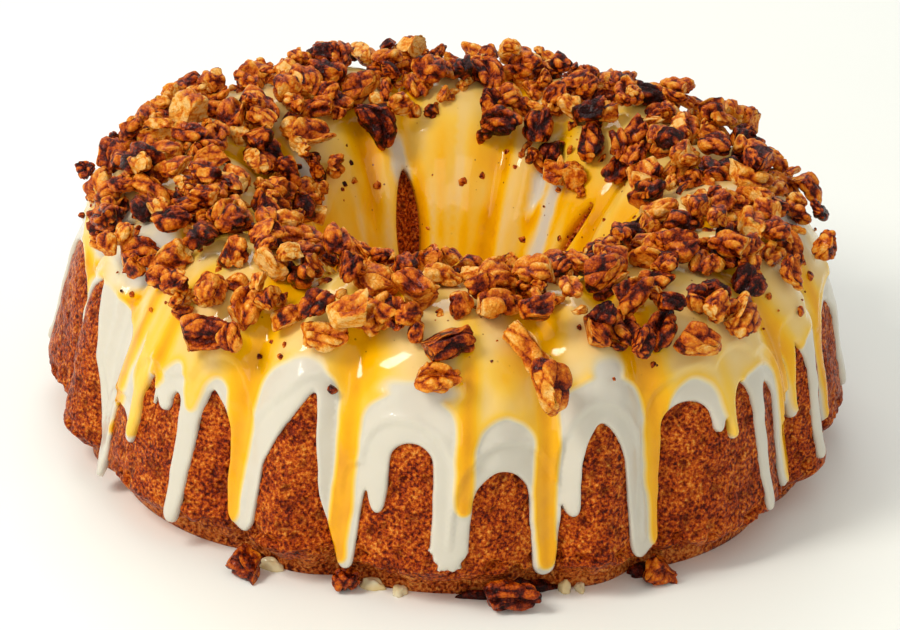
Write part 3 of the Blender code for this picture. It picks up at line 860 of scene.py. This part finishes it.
def sheet_faces(loops, inner):
    """Triangles over the pattern inside the first loop and outside the others, which stay as edges."""
    points, edges = [], []
    for loop in loops:
        first = len(points)
        points += [Vector(point) for point in loop]
        edges += [(first + i, first + (i + 1) % len(loop)) for i in range(len(loop))]
    points += [Vector(point) for point in inner]
    flat, _, faces, _, _, _ = delaunay_2d_cdt(points, edges, [], 1, 1e-7)
    flat, faces = np.array([tuple(point) for point in flat]), np.array(faces)
    middles = flat[faces].mean(axis=1)
    kept = inside(middles, loops[0])
    for loop in loops[1:]:
        kept &= ~inside(middles, loop)
    return flat, faces[kept].tolist()


def signed_turn(angle, middle):
    return (angle - middle + 180) % 360 - 180


def caramel_film(angle, way, points, runs):
    """How much caramel lies on the icing: 0 for none, about 0.3 on a ridge, 1 where it pools. Then how
    surely there is any."""
    run_angle, run_way = lower_edge(runs, RUN_NOISE, RUN_WAVER)
    covered = inside(flat_pattern(angle, way), flat_pattern(run_angle, run_way))
    reach = distances(points, on_cake(run_angle, run_way)) * np.where(covered, 1, -1)
    cover = ease(reach, -RUN_BLEND, RUN_BLEND)
    press = rounded_press(angle, 2.0)
    cloudy = smooth_noise(points, 13 * MM, 50)
    mottled = smooth_noise(points, 5 * MM, 53)
    streaky = smooth_noise(np.stack([angle * 1.6 * MM, way * 0.18, 0 * way], axis=1), 5 * MM, 51)
    pooled = 0.8 * ease(press + 0.25 * cloudy, 0.2, 0.8) + 0.14 * streaky + 0.12 * cloudy
    radius = along_line(way)[0]
    height = along_line(way)[1]
    for one in runs:
        leaning = one.lean * ease(height, one.tip, one.height)
        away = np.abs(np.radians(signed_turn(angle, one.angle + leaning)) * radius) / (one.width * 0.62)
        lower = 1 - ease(way, 52 * MM, 88 * MM)
        strength = 0.95 if one.width > 4.6 * MM else 0.25
        pooled = np.maximum(pooled, strength * np.exp(-(away**2)) * lower)
        near_tip = np.exp(-(((height - one.tip) / (9 * MM)) ** 2) - away**2)
        pooled = np.maximum(pooled, 0.95 * strength * near_tip)
    # The film's lower rim holds a thicker line.
    pooled = np.maximum(pooled, 0.35 * np.exp(-((reach / (2.2 * MM)) ** 2)))
    hole_side = ease(way, 100 * MM, 120 * MM)
    pooled = np.clip(pooled + hole_side * (0.3 + 0.3 * streaky), 0, 1)
    film = 0.29 + 0.05 * cloudy + 0.04 * mottled + 0.62 * pooled
    for patch in WHITE_PATCHES:
        across = np.radians(signed_turn(angle, patch.angle)) * radius / patch.across
        along = (way - patch.way) / patch.along
        away = np.hypot(across, along) + 0.35 * smooth_noise(points, 6 * MM, 52)
        film = film * ease(away, 0.55, 1.15)
    film = np.clip(film, 0, 1) * cover
    return film, np.clip(film / 0.25, 0, 1)


def icing_thickness(way, level, to_edge, drips):
    """Rounded at its edge, with a bead at each tip, and a lip and a step where one pour set on another."""
    share = np.clip(to_edge / EDGE_ROUNDING, 0, 1)
    round_edge = np.sqrt(1 - (1 - share) ** 2)
    bead = np.zeros(len(way))
    for drip in drips:
        tip = on_cake(np.array([drip.angle]), np.array([way_at(drip.tip + drip.width * 0.6)]))[0]
        away = np.linalg.norm(level - tip, axis=1) / (drip.width * 0.7)
        bead = np.maximum(bead, np.exp(-(away**2)))
    fold_at = (7 + 4 * smooth_noise(level, 20 * MM, 61)) * MM
    second_pour = ease(to_edge, fold_at - 0.5 * MM, fold_at + 0.5 * MM)
    lip = np.exp(-(((to_edge - fold_at - 1.2 * MM) / (1.1 * MM)) ** 2))
    swell = 0.22 * MM * smooth_noise(level, 10 * MM, 62) + 0.1 * MM * smooth_noise(level, 5 * MM, 63)
    crown = ease(way, 54 * MM, 68 * MM)
    thick = WALL_THICKNESS + (ICING_THICKNESS - WALL_THICKNESS) * crown
    thick += bead * 0.6 * MM + swell
    thick += (1 - crown) * (0.75 * MM * second_pour + 0.35 * MM * lip)
    return round_edge * thick


def build_icing(look):
    """The poured sheet: triangles over its flat pattern, laid on the cake, with a rounded edge."""
    drips = FRONT_DRIPS + back_drips()
    hole_angles = np.arange(360, 0, -1.2)
    hole_waver = smooth_noise(on_circle(hole_angles, HOLE_RADIUS, 0.0), 12 * MM, 31)
    edges = [lower_edge(drips, 30, 0.55 * MM)]
    edges.append((hole_angles, HOLE_EDGE - 4 * MM + 3 * MM * hole_waver))
    edges += [bare_loop(bare) for bare in BARE_PATCHES]
    loops = [flat_pattern(angle, way) for angle, way in edges]
    border = np.vstack([on_cake(angle, way) for angle, way in edges])

    def kept(spots, clearance):
        """The spots inside the sheet, and clear of its edge by this much."""
        flat = flat_pattern(spots[:, 0], spots[:, 1])
        good = inside(flat, loops[0])
        for loop in loops[1:]:
            good &= ~inside(flat, loop)
        spots, flat = spots[good], flat[good]
        clear = distances(on_cake(spots[:, 0], spots[:, 1]), border) > clearance
        return flat[clear]

    rim = [np.vstack([inset(angle, way, depth) for angle, way in edges]) for depth in RIM_DEPTHS]
    inner = [kept(spots, 0.85 * depth) for spots, depth in zip(rim, RIM_DEPTHS)]
    fine = np.vstack(
        [
            spread_points(-HANG, 64 * MM, 1.15 * MM, 1.0 * MM),
            spread_points(64 * MM, HOLE_EDGE, 1.6 * MM, 1.6 * MM),
        ]
    )
    # Rows of points beside the caramel's edge let it thin out evenly.
    runs = FRONT_RUNS + back_runs()
    run_angle, run_way = lower_edge(runs, RUN_NOISE, RUN_WAVER)
    beside = np.vstack([inset(run_angle, run_way, depth) for depth in (-RUN_BLEND, 0.0, RUN_BLEND)])
    clear = distances(on_cake(*fine.T), on_cake(run_angle, run_way)) > RUN_BLEND + 0.5 * MM
    inner.append(kept(fine[clear], RIM_DEPTHS[-1] + 0.3 * MM))
    inner.append(kept(beside, RIM_DEPTHS[-1] + 0.3 * MM))
    flat, faces = sheet_faces(loops, np.vstack(inner))
    angle, way = from_pattern(flat)
    level = on_cake(angle, way)
    to_edge = distances(level, border)
    film, cover = caramel_film(angle, way, level, runs)
    round_edge = ease(to_edge, 0.0, EDGE_ROUNDING)
    lift = icing_thickness(way, level, to_edge, drips) + CARAMEL_THICKNESS * (cover + film) * round_edge
    # On the wall the icing follows the crust's own hollows.
    sink = crust_sink(level) * (1 - ease(way, 50 * MM, 66 * MM))
    top = on_cake(angle, way, lift - sink, rounded_press(angle, VALLEY_ROUNDING))
    rim = to_edge < 1e-6
    top[rim] = on_cake(angle[rim], way[rim], -BURIED - sink[rim])
    count = len(top)
    columns, rows = np.arange(0, 360, 2.5), np.arange(-HANG, HOLE_EDGE, 3 * MM)
    coarse = np.stack(np.meshgrid(columns, rows), axis=-1).reshape(-1, 2)
    below_flat, below_faces = sheet_faces(loops, kept(coarse, 1.2 * MM))
    edge_count = sum(len(loop) for loop in loops)
    below_angle, below_way = from_pattern(below_flat[edge_count:])
    below = on_cake(below_angle, below_way, -UNDERSIDE)
    new_index = [i if i < edge_count else count + i - edge_count for i in range(len(below_flat))]
    bottom_faces = [tuple(new_index[i] for i in reversed(face)) for face in below_faces]
    points = np.vstack([top, below])
    made = mesh_object("icing_and_caramel", points, list(map(tuple, faces)) + bottom_faces, look)
    add_values(made, "caramel", np.concatenate([film, np.zeros(len(below))]))
    dusty = ease(way, 50 * MM, 66 * MM) * ease(smooth_noise(level, 16 * MM, 60), -0.5, 0.6)
    add_values(made, "dusty", np.concatenate([dusty, np.zeros(len(below))]))
    finish_piece(made, "icing", "icing")


# --- Pecans ---

PIECE_SEED = 33


def ball(steps):
    """The points and triangles of a ball of radius one: a cube, each side in steps, blown round."""
    bm = bmesh.new()
    bmesh.ops.create_grid(bm, x_segments=steps, y_segments=steps, size=1.0)
    side = np.array([vert.co[:] for vert in bm.verts])
    side_faces = np.array([[vert.index for vert in face.verts] for face in bm.faces])
    bm.free()
    side[:, :2] = np.tan(side[:, :2] * math.pi / 4)
    side[:, 2] = 1.0
    points, faces = [], []
    for axis in range(3):
        for sign in (1, -1):
            turned = np.roll(side * (1, sign, sign), axis, axis=1)
            faces.append(side_faces + len(side) * len(points))
            points.append(turned)
    points = np.vstack(points)
    points /= np.linalg.norm(points, axis=1, keepdims=True)
    _, first, shared = np.unique(np.round(points, 6), axis=0, return_index=True, return_inverse=True)
    quads = shared.reshape(-1)[np.vstack(faces)]
    triangles = np.vstack([quads[:, [0, 1, 2]], quads[:, [0, 2, 3]]])
    return points[first], triangles


# A kind of piece: width and height as shares of its length, depth of the groove, planes it broke at,
# and how wrinkled it is.
Kind = namedtuple("Kind", "width height groove breaks wrinkle")
HALF = Kind(0.60, 0.44, 0.75, 1, 1.0)
END = Kind(0.72, 0.52, 0.6, 2, 1.0)
CHUNK = Kind(0.74, 0.60, 0.35, 3, 0.85)
SLIVER = Kind(0.42, 0.34, 0.2, 2, 0.7)
BLOCKINESS = (2.0, 3.2)  # 2 is an ellipsoid; more is squarer


def pecan_lobes(spots, seed):
    """The long lobes of a pecan's meat: how high each point lies on one, and how near a crease."""
    near, second, own = nearest_two(spots * (2.3, 4.1, 3.2), seed)
    crease = 1 - ease(second - near, 0.0, 0.26)
    return (1 - near**2) * (0.6 + 0.5 * own), crease


def break_planes(kind, rng):
    """Where a piece of this kind broke: each plane's direction, and how far out it lies."""
    side = rng.choice([-1, 1])
    planes = [
        ((1, rng.uniform(-0.6, 0.6), rng.uniform(-0.5, 0.5)), 0.27),
        ((rng.uniform(-0.6, 0.6), side, rng.uniform(-0.6, 0.6)), kind.width * 0.27),
        ((-1, rng.uniform(-0.7, 0.7), rng.uniform(-0.5, 0.5)), 0.33),
    ]
    return planes[: kind.breaks]


def pecan_shape(kind, seed, base):
    """One pecan piece along X, one unit long: (points, faces, painted light and shade of its relief, how
    freshly broken).
    """
    unit, faces = base
    rng = random.Random(seed)
    blockiness = rng.uniform(*BLOCKINESS)
    square = (np.abs(unit) ** blockiness).sum(1) ** (-1 / blockiness)
    x, y, z = (unit * square[:, None]).T
    taper = 1 - 0.2 * x**2 - rng.uniform(-0.2, 0.2) * x
    wide, tall = kind.width * rng.uniform(0.8, 1.1), kind.height * rng.uniform(0.72, 1.08)
    points = np.stack([x / 2, y * wide / 2 * taper, z * tall / 2 * taper], axis=1)
    # The groove between a half's two long lobes wanders a little.
    middle = rng.uniform(-0.15, 0.15) + 0.18 * np.sin(x * 3 + rng.uniform(0, 6))
    groove = np.exp(-(((y - middle) / 0.2) ** 2)) * (1 - 0.5 * x**4)
    points[:, 2] -= z * groove * tall / 2 * np.where(z > 0, kind.groove, 0.5 * kind.groove)
    # The lobes slant away from the groove on both sides.
    slant = rng.uniform(0.2, 0.8)
    spots = np.stack([points[:, 0] + slant * np.abs(points[:, 1]), points[:, 1], points[:, 2]], axis=1)
    spots = spots + 0.06 * np.stack([smooth_noise(spots, 0.3, seed + axis) for axis in range(3)], axis=1)
    lobe, crease = pecan_lobes(spots, seed)
    wrinkles = smooth_noise(spots * (0.6, 1.0, 1.0), 0.075, seed + 40)
    folds = smooth_noise(unit, 0.8, seed + 8)
    raised = 0.075 * (lobe - 0.5) - 0.045 * crease + 0.018 * wrinkles
    points += unit * (kind.wrinkle * raised + 0.05 * folds)[:, None]
    curve = 1 - (2 * points[:, 0]) ** 2
    points[:, 2] += rng.uniform(-0.12, 0.12) * curve
    points[:, 1] += rng.uniform(-0.1, 0.1) * curve
    broken = np.zeros(len(points))
    for lean, reach in break_planes(kind, rng):
        lean = np.array(Vector(lean).normalized())
        past = points @ lean - reach * rng.uniform(0.75, 1.1)
        past -= 0.04 * smooth_noise(points, 0.2, seed + 20)
        over = past > 0
        points[over] -= np.outer(past[over] * 0.94, lean)
        broken = np.maximum(broken, ease(past, -0.02, 0.03))
    points -= (points.max(0) + points.min(0)) / 2
    points /= np.ptp(points[:, 0])
    # Painted shade: darker in the creases and the groove, lighter on the raised lobes.
    deep = np.maximum(crease * kind.wrinkle, 0.8 * groove * kind.groove * (z > 0))
    painted_relief_shade = np.clip(0.55 + 0.55 * (lobe - 0.5) - 0.6 * deep + 0.12 * wrinkles, 0, 1)
    return points, faces, painted_relief_shade, broken


LARGE = ball(13)
MIDDLE = ball(9)
SMALL = ball(6)


def shapes_of(kinds, seed, base):
    return [pecan_shape(kind, seed + 17 * number, base) for number, kind in enumerate(kinds)]


VARIANTS = {
    "large": shapes_of([HALF, END] * 5 + [CHUNK] * 2, 100, LARGE),
    "half": shapes_of([HALF] * 10, 400, MIDDLE),
    "end": shapes_of([END] * 10, 700, MIDDLE),
    "chunk": shapes_of([CHUNK] * 12, 1000, MIDDLE),
    "sliver": shapes_of([SLIVER] * 8, 1300, MIDDLE),
    "bit": shapes_of([CHUNK, END, SLIVER] * 4, 1600, SMALL),
}


class Heap:
    """Meshes of one kind, gathered to be made as one piece."""

    def __init__(self):
        self.points, self.faces, self.tones = [], [], []
        self.count = 0

    def add(self, points, faces, tones):
        self.points.append(points)
        self.faces.append(faces + self.count)
        self.tones.append(tones)
        self.count += len(points)

    def make(self, name, look, tone_name="tone"):
        points = np.vstack(self.points)
        points[:, 2] = np.clip(points[:, 2], 0.0, CAD_BOX[1][2] - 0.2 * MM)
        made = mesh_object(name, points, np.vstack(self.faces).tolist(), look)
        add_values(made, tone_name, np.concatenate(self.tones))
        return made


ROASTS = (0.18, 0.34, 0.41, 0.46, 0.50, 0.53, 0.56, 0.60, 0.66, 0.76)


def piece_tones(shape, rng):
    """Each piece roasted a little differently, darker in its creases and lighter on its lobes with
    painted shade, and golden where it broke.
    """
    _, _, painted_relief_shade, broken = shape
    golden = rng.uniform(0.05, 0.36)
    return np.clip(rng.choice(ROASTS) + 0.7 * (painted_relief_shade - 0.52) + golden * broken, 0, 1)


# --- Settling pieces on the icing ---

CELL_ANGLE = 0.5
CELL_WAY = 1.0 * MM
GRID_START, GRID_END = 40 * MM, 160 * MM
GRID_ANGLES = np.arange(-180, 180, CELL_ANGLE)
GRID_WAYS = np.arange(GRID_START, GRID_END, CELL_WAY)
PRESS_ON_GRID = rounded_press(GRID_ANGLES, VALLEY_ROUNDING)


class Bed:
    """How high the icing and the pieces on it stand, over a grid of angles and ways."""

    def __init__(self):
        ways = np.broadcast_to(GRID_WAYS, (len(GRID_ANGLES), len(GRID_WAYS)))
        angles = np.broadcast_to(GRID_ANGLES[:, None], ways.shape)
        self.base = on_cake(angles, ways, 0.0, 0.0)
        self.out = outward_at(angles, ways)
        radius = along_line(GRID_WAYS)[0]
        depth = FLUTE_DEPTH * np.clip(radius / RIDGE_RADIUS, SHALLOWEST, 1)
        icing = ICING_THICKNESS + CARAMEL_THICKNESS
        self.height = icing - PRESS_ON_GRID[:, None] * depth[None, :]

    def window(self, angle, way, reach):
        """The cells within reach of a spot."""
        radius = along_line(way)[0]
        side = int(math.degrees(reach / radius) / CELL_ANGLE) + 1
        middle = int(round((angle + 180) / CELL_ANGLE))
        columns = np.arange(middle - side, middle + side + 1) % len(GRID_ANGLES)
        first = int((way - reach - GRID_START) / CELL_WAY)
        last = int((way + reach - GRID_START) / CELL_WAY) + 1
        rows = np.arange(max(first, 0), min(last, len(GRID_WAYS)))
        return np.ix_(columns, rows)

    def frame_at(self, angle, way):
        """A spot on the unfluted ring, with directions round, up along the way, and out."""
        spot = on_cake(np.array([angle]), np.array([way]), 0.0, 0.0)[0]
        out = outward_at(np.array([angle]), np.array([way]))[0]
        around = on_circle(np.array([angle + 90]), 1.0, 0.0)[0]
        return spot, around, np.cross(out, around), out

    def local(self, cells, spot, axes):
        """The cells' unraised points in a piece's own axes, and how upright each cell stands there."""
        offset = self.base[cells] - spot
        return [offset @ axis for axis in axes], self.out[cells] @ axes[2]

    def rest_on(self, angle, way, size, axes):
        """How far out from the unfluted ring a piece's middle stands, once it rests on the bed."""
        spot, *_ = self.frame_at(angle, way)
        cells = self.window(angle, way, max(size) / 2)
        (u, v, w), upright = self.local(cells, spot, axes)
        across = (2 * u / size[0]) ** 2 + (2 * v / size[1]) ** 2
        under = across < 0.9
        if not under.any():
            return 0.0
        belly = size[2] / 2 * np.sqrt(1 - across[under])
        surface = w[under] + self.height[cells][under] * upright[under]
        return float((surface + belly * 0.8).max())

    def cover(self, angle, way, size, axes, lift):
        """Raises the bed by a piece that was set down."""
        spot, *_ = self.frame_at(angle, way)
        cells = self.window(angle, way, max(size) / 2)
        (u, v, w), upright = self.local(cells, spot, axes)
        across = (2 * u / size[0]) ** 2 + (2 * v / size[1]) ** 2
        top = lift + size[2] / 2 * np.sqrt(np.clip(1 - across, 0, 1))
        raised = (top - w) / np.maximum(upright, 0.5)
        old = self.height[cells]
        self.height[cells] = np.where(across < 1, np.maximum(old, raised), old)

    def surface(self, angle, way):
        """The bed's own point at a spot, and how far it stands out from the unfluted ring."""
        spot, _, _, out = self.frame_at(angle, way)
        column = int(round((angle + 180) / CELL_ANGLE)) % len(GRID_ANGLES)
        row = min(int((way - GRID_START) / CELL_WAY), len(GRID_WAYS) - 1)
        height = self.height[column, row]
        return spot + out * height, height


def turned_axes(around, along, out, turn, tilt, roll):
    """The piece's three axes: turned on the bed, then tilted along and across itself."""
    long_side = math.cos(turn) * around + math.sin(turn) * along
    side = np.cross(out, long_side)
    long_side = math.cos(tilt) * long_side + math.sin(tilt) * out
    up = np.cross(long_side, side)
    side = math.cos(roll) * side + math.sin(roll) * up
    return long_side, side, np.cross(long_side, side)


def node_frame(node):
    """The middle, size and axes of a packed pecan, with its long side first and its height last."""
    points = np.array([vert.co[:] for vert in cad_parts[node].data.vertices])
    middle = points.mean(0)
    spread = np.linalg.eigh(np.cov((points - middle).T))[1]
    axes = spread[:, ::-1].T
    outward = np.array([middle[0], middle[1], 0])
    outward = outward / np.linalg.norm(outward) * (1 if np.hypot(*middle[:2]) > CROWN_RADIUS else -1)
    up = axes[2] if axes[2] @ (outward + np.array([0, 0, 1.5])) > 0 else -axes[2]
    axes = np.array([axes[0], np.cross(up, axes[0]), up])
    local = (points - middle) @ axes.T
    middle = middle + ((local.max(0) + local.min(0)) / 2) @ axes
    return middle, np.ptp(local, axis=0), axes


def fitted(shape, size, middle, axes):
    """A shape stretched to a packed pecan's own size and laid in its place."""
    points, faces, _, _ = shape
    return points * (size / np.ptp(points, axis=0)) @ axes + middle, faces


# Where the pecans lie: the nearest and furthest way in millimetres, at angles round the cake.
Band = namedtuple("Band", "angle start end")
BANDS = [
    Band(-180, 62, 105),
    Band(-160, 62, 104),
    Band(-150, 62, 108),
    Band(-135, 62, 112),
    Band(-110, 56, 124),
    Band(-90, 54, 118),
    Band(-75, 58, 114),
    Band(-56, 62, 112),
    Band(-37, 56, 112),
    Band(-28, 60, 112),
    Band(-20, 61, 112),
    Band(-13, 64, 112),
    Band(-5, 71, 112),
    Band(5, 74, 112),
    Band(14, 73, 112),
    Band(20, 68, 112),
    Band(24, 61, 112),
    Band(29, 59, 112),
    Band(34, 64, 112),
    Band(45, 62, 112),
    Band(57, 62, 112),
    Band(75, 62, 112),
    Band(95, 58, 108),
    Band(112, 58, 104),
    Band(124, 60, 116),
    Band(144, 62, 118),
    Band(168, 62, 111),
    Band(180, 62, 105),
]
BAND_COLUMNS = np.array(BANDS).T


def in_band(angle, way):
    """How far inside the band of pecans a spot lies: 0 at its edges, 1 some way in."""
    start, end = (np.interp(angle, BAND_COLUMNS[0], column) * MM for column in BAND_COLUMNS[1:])
    return min(way - start, end - way) / (6 * MM)


TRIES = 12  # spots tried for each piece
CRUMBS = 320


def set_pieces(bed, heaps, rng, count, sizes, kinds, slope, most):
    """Sets pieces down one by one, each at the lowest of a few spots that were tried."""
    highest = CAD_BOX[1][2] - 0.5 * MM
    for _ in range(count):
        name = rng.choice(kinds)
        shape = rng.choice(VARIANTS[name])
        length = rng.uniform(*sizes)
        size = np.ptp(shape[0], axis=0) * length
        best = None
        for _ in range(TRIES):
            angle, way = rng.uniform(-180, 180), rng.uniform(54, 126) * MM
            if in_band(angle, way) < rng.random():
                continue
            spot, around, along, out = bed.frame_at(angle, way)
            tilts = rng.uniform(0, math.pi), rng.gauss(0, slope), rng.gauss(0, slope * 1.4)
            axes = turned_axes(around, along, out, *tilts)
            lift = bed.rest_on(angle, way, size, axes)
            if best is None or lift < best[0]:
                best = (lift, angle, way, spot, axes)
        if best is None or best[0] - size[2] / 2 > most:
            continue
        lift, angle, way, spot, axes = best
        middle = spot + axes[2] * lift
        if middle[2] + size[2] / 2 > highest:
            continue
        bed.cover(angle, way, size, axes, lift)
        if rng.random() < 0.5:
            axes = (-axes[0], -axes[1], axes[2])
        points = shape[0] * length @ np.array(axes) + middle
        heaps[name].add(points, shape[1], piece_tones(shape, rng))


def settle_node(bed, middle, size, axes):
    """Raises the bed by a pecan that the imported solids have."""
    angle = math.degrees(math.atan2(middle[0], -middle[1]))
    column = int(round((angle + 180) / CELL_ANGLE)) % len(GRID_ANGLES)
    away = np.linalg.norm(bed.base[column] - middle, axis=1)
    way = float(GRID_WAYS[int(np.argmin(away))])
    spot, _, _, _ = bed.frame_at(angle, way)
    bed.cover(angle, way, size, axes, float((middle - spot) @ np.array(axes[2])))


def build_pecans(look):
    rng = random.Random(PIECE_SEED)
    bed = Bed()
    nodes = sorted(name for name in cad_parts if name.startswith("pecan"))
    own = Heap()
    for node in nodes:
        middle, size, axes = node_frame(node)
        shape = rng.choice(VARIANTS["large"])
        points, faces = fitted(shape, size, middle, axes)
        own.add(points, faces, piece_tones(shape, rng))
        settle_node(bed, middle, size, axes)
    finish_piece(own.make("pecans_large", look), "pecan", *nodes)
    heaps = {name: Heap() for name in list(VARIANTS)[1:]}
    broken = ["half", "end", "end", "chunk", "chunk", "sliver"]
    set_pieces(bed, heaps, rng, 240, (10 * MM, 13.5 * MM), ["half", "half", "end", "chunk"], 0.25, 6.5 * MM)
    set_pieces(bed, heaps, rng, 330, (7 * MM, 11 * MM), broken, 0.4, 9 * MM)
    set_pieces(bed, heaps, rng, 300, (4 * MM, 7.5 * MM), ["bit"], 0.5, 11 * MM)
    for name, heap in heaps.items():
        finish_piece(heap.make(f"pecan_{name}s", look), "pecan")
    build_crumbs(look, bed, rng)


def build_crumbs(look, bed, rng):
    """Crumbs of pecan that scattered round the pieces and down into the hole."""
    heap = Heap()
    grits = [pecan_shape(CHUNK, 2000 + i, ball(3)) for i in range(6)]
    while len(heap.points) < CRUMBS:
        angle, way = rng.uniform(-180, 180), rng.uniform(50, 158) * MM
        if in_band(angle, way) < rng.uniform(-2.2, 0.5) and rng.random() > 0.12:
            continue
        place, height = bed.surface(angle, way)
        if height > ICING_THICKNESS + 2 * MM:
            continue
        shape = rng.choice(grits)
        _, around, along, out = bed.frame_at(angle, way)
        axes = turned_axes(around, along, out, rng.uniform(0, math.pi), rng.gauss(0, 0.5), 0.0)
        length = 0.8 * MM + 2.4 * MM * rng.random() ** 2.5
        heap.add(shape[0] * length @ np.array(axes) + place, shape[1], piece_tones(shape, rng) * 0.8)
    finish_piece(heap.make("pecan_crumbs", look), "pecan")


def build_foot_pieces(look):
    rng = random.Random(PIECE_SEED + 1)
    nodes = sorted(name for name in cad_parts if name.startswith("foot"))
    heap = Heap()
    for node in nodes:
        middle, size, axes = node_frame(node)
        shape = rng.choice(VARIANTS["large"][-4:])
        points, faces = fitted(shape, size, middle, axes)
        heap.add(points, faces, piece_tones(shape, rng) * 0.65)
    finish_piece(heap.make("pecans_at_the_foot", look), "pecan", *nodes)


# What ran off the drips and set against the foot: angle, length and height of each bit.
Bit = namedtuple("Bit", "angle length height")
ICING_BITS = [
    Bit(-25.0, 7 * MM, 3 * MM),
    Bit(-9.5, 7 * MM, 3.2 * MM),
    Bit(-5.5, 4 * MM, 2.6 * MM),
    Bit(12.0, 4.5 * MM, 3.4 * MM),
    Bit(18.5, 4 * MM, 3 * MM),
    Bit(20.5, 3 * MM, 2.2 * MM),
]
SYRUP_BITS = [
    Bit(-28.0, 9 * MM, 2.4 * MM),
    Bit(6.0, 12 * MM, 2.4 * MM),
    Bit(11.0, 17 * MM, 4.4 * MM),
    Bit(14.5, 12 * MM, 2.6 * MM),
    Bit(31.0, 8 * MM, 2.6 * MM),
]


def foot_heap(bits, seed, outward_reach, value, spread):
    """Low lumps of uneven shape, set in the angle under the skirt."""
    rng = random.Random(seed)
    heap = Heap()
    unit, faces = ball(8)
    for number, bit in enumerate(bits):
        lumpy = unit * (1 + 0.3 * smooth_noise(unit, 0.9, seed + number))[:, None]
        lumpy *= (1 + 0.14 * smooth_noise(unit, 0.4, seed + 30 + number))[:, None]
        size = np.array([bit.length / 2, rng.uniform(1.6, 2.6) * MM, bit.height])
        around = on_circle(bit.angle + 90, 1.0, 0.0)
        outward = on_circle(bit.angle, 1.0, 0.0)
        axes = np.array([around, -outward, (0, 0, 1)])
        sunk = -FLUTE_DEPTH / 2 * float(flute_press(bit.angle))
        points = lumpy * size @ axes + on_circle(bit.angle, FOOT_RADIUS + sunk + outward_reach, 0.0)
        heap.add(points, faces, value + spread * smooth_noise(points, 3 * MM, seed + 60))
    return heap


def build_foot_bits(icing_look, pecan_look):
    icing = foot_heap(ICING_BITS, 90, 1.6 * MM, 0.14, 0.1)
    finish_piece(icing.make("icing_bits_at_the_foot", icing_look, "caramel"), "icing")
    syrup = foot_heap(SYRUP_BITS, 120, 2.0 * MM, 0.12, 0.12)
    finish_piece(syrup.make("syrup_at_the_foot", pecan_look), "pecan")


# --- Stage ---


def look_at(thing, place, aim, roll=0.0):
    """Stands a camera or light at a place, turned to face the aim."""
    back = (Vector(place) - Vector(aim)).normalized()
    turn = back.to_track_quat("Z", "Y").to_matrix().to_4x4()
    thing.matrix_world = Matrix.Translation(place) @ turn @ Matrix.Rotation(roll, 4, "Z")


def add_light(name, place, aim, width, length, power, tint):
    lamp = bpy.data.lights.new(name, "AREA")
    lamp.shape = "RECTANGLE"
    lamp.size, lamp.size_y = width, length
    lamp.energy = power
    lamp.color = linear(tint)[:3]
    thing = bpy.data.objects.new(name, lamp)
    bpy.context.scene.collection.objects.link(thing)
    look_at(thing, place, aim)


CAMERA_DISTANCE = 1.1
CAMERA_RISE = math.radians(26)
CAMERA_TURN = math.radians(-0.8)
CAMERA_ROLL = math.radians(3.3)
CAMERA_LENS = 142.1
CAMERA_TARGET = Vector((0.0, 0.0, 0.040))
CAMERA_AIM = Vector((0.0002, 0.0, 0.0324))


def build_stage():
    floor = mesh_object(
        "floor",
        [(-4, -4, 0), (4, -4, 0), (4, 4, 0), (-4, 4, 0)],
        [(0, 1, 2, 3)],
        matt_white(),
        smooth=False,
    )
    level = math.cos(CAMERA_RISE) * CAMERA_DISTANCE
    offset = (math.sin(CAMERA_TURN) * level, -math.cos(CAMERA_TURN) * level)
    place = CAMERA_TARGET + Vector((*offset, math.sin(CAMERA_RISE) * CAMERA_DISTANCE))
    lens = bpy.data.cameras.new("camera")
    lens.lens = CAMERA_LENS
    lens.sensor_width = 36
    camera = bpy.data.objects.new("camera", lens)
    bpy.context.scene.collection.objects.link(camera)
    look_at(camera, place, CAMERA_AIM, CAMERA_ROLL)
    bpy.context.scene.camera = camera
    add_light("window", (-0.80, -0.50, 1.00), (0, 0, 0.05), 0.32, 0.52, 10.5, "#FFFBF4")
    add_light("front_fill", (-0.15, -1.4, 0.7), (0, 0, 0.04), 0.5, 0.8, 2, "#FFF8EE")
    add_light("back_fill", (-0.2, 0.9, 1.0), (0, 0, 0.05), 0.8, 0.5, 4, "#F8F9FF")
    world = bpy.data.worlds.new("pale room")
    world.use_nodes = True
    world.node_tree.nodes["Background"].inputs["Color"].default_value = linear("#FDFEFA")
    world.node_tree.nodes["Background"].inputs["Strength"].default_value = 0.65
    bpy.context.scene.world = world
    bpy.context.scene.view_settings.view_transform = "Standard"


build_stage()
build_crust(browned_crust())
icing_look = poured_icing()
build_icing(icing_look)
pecan_look = candied_pecan()
build_pecans(pecan_look)
build_foot_pieces(pecan_look)
build_foot_bits(icing_look, pecan_look)
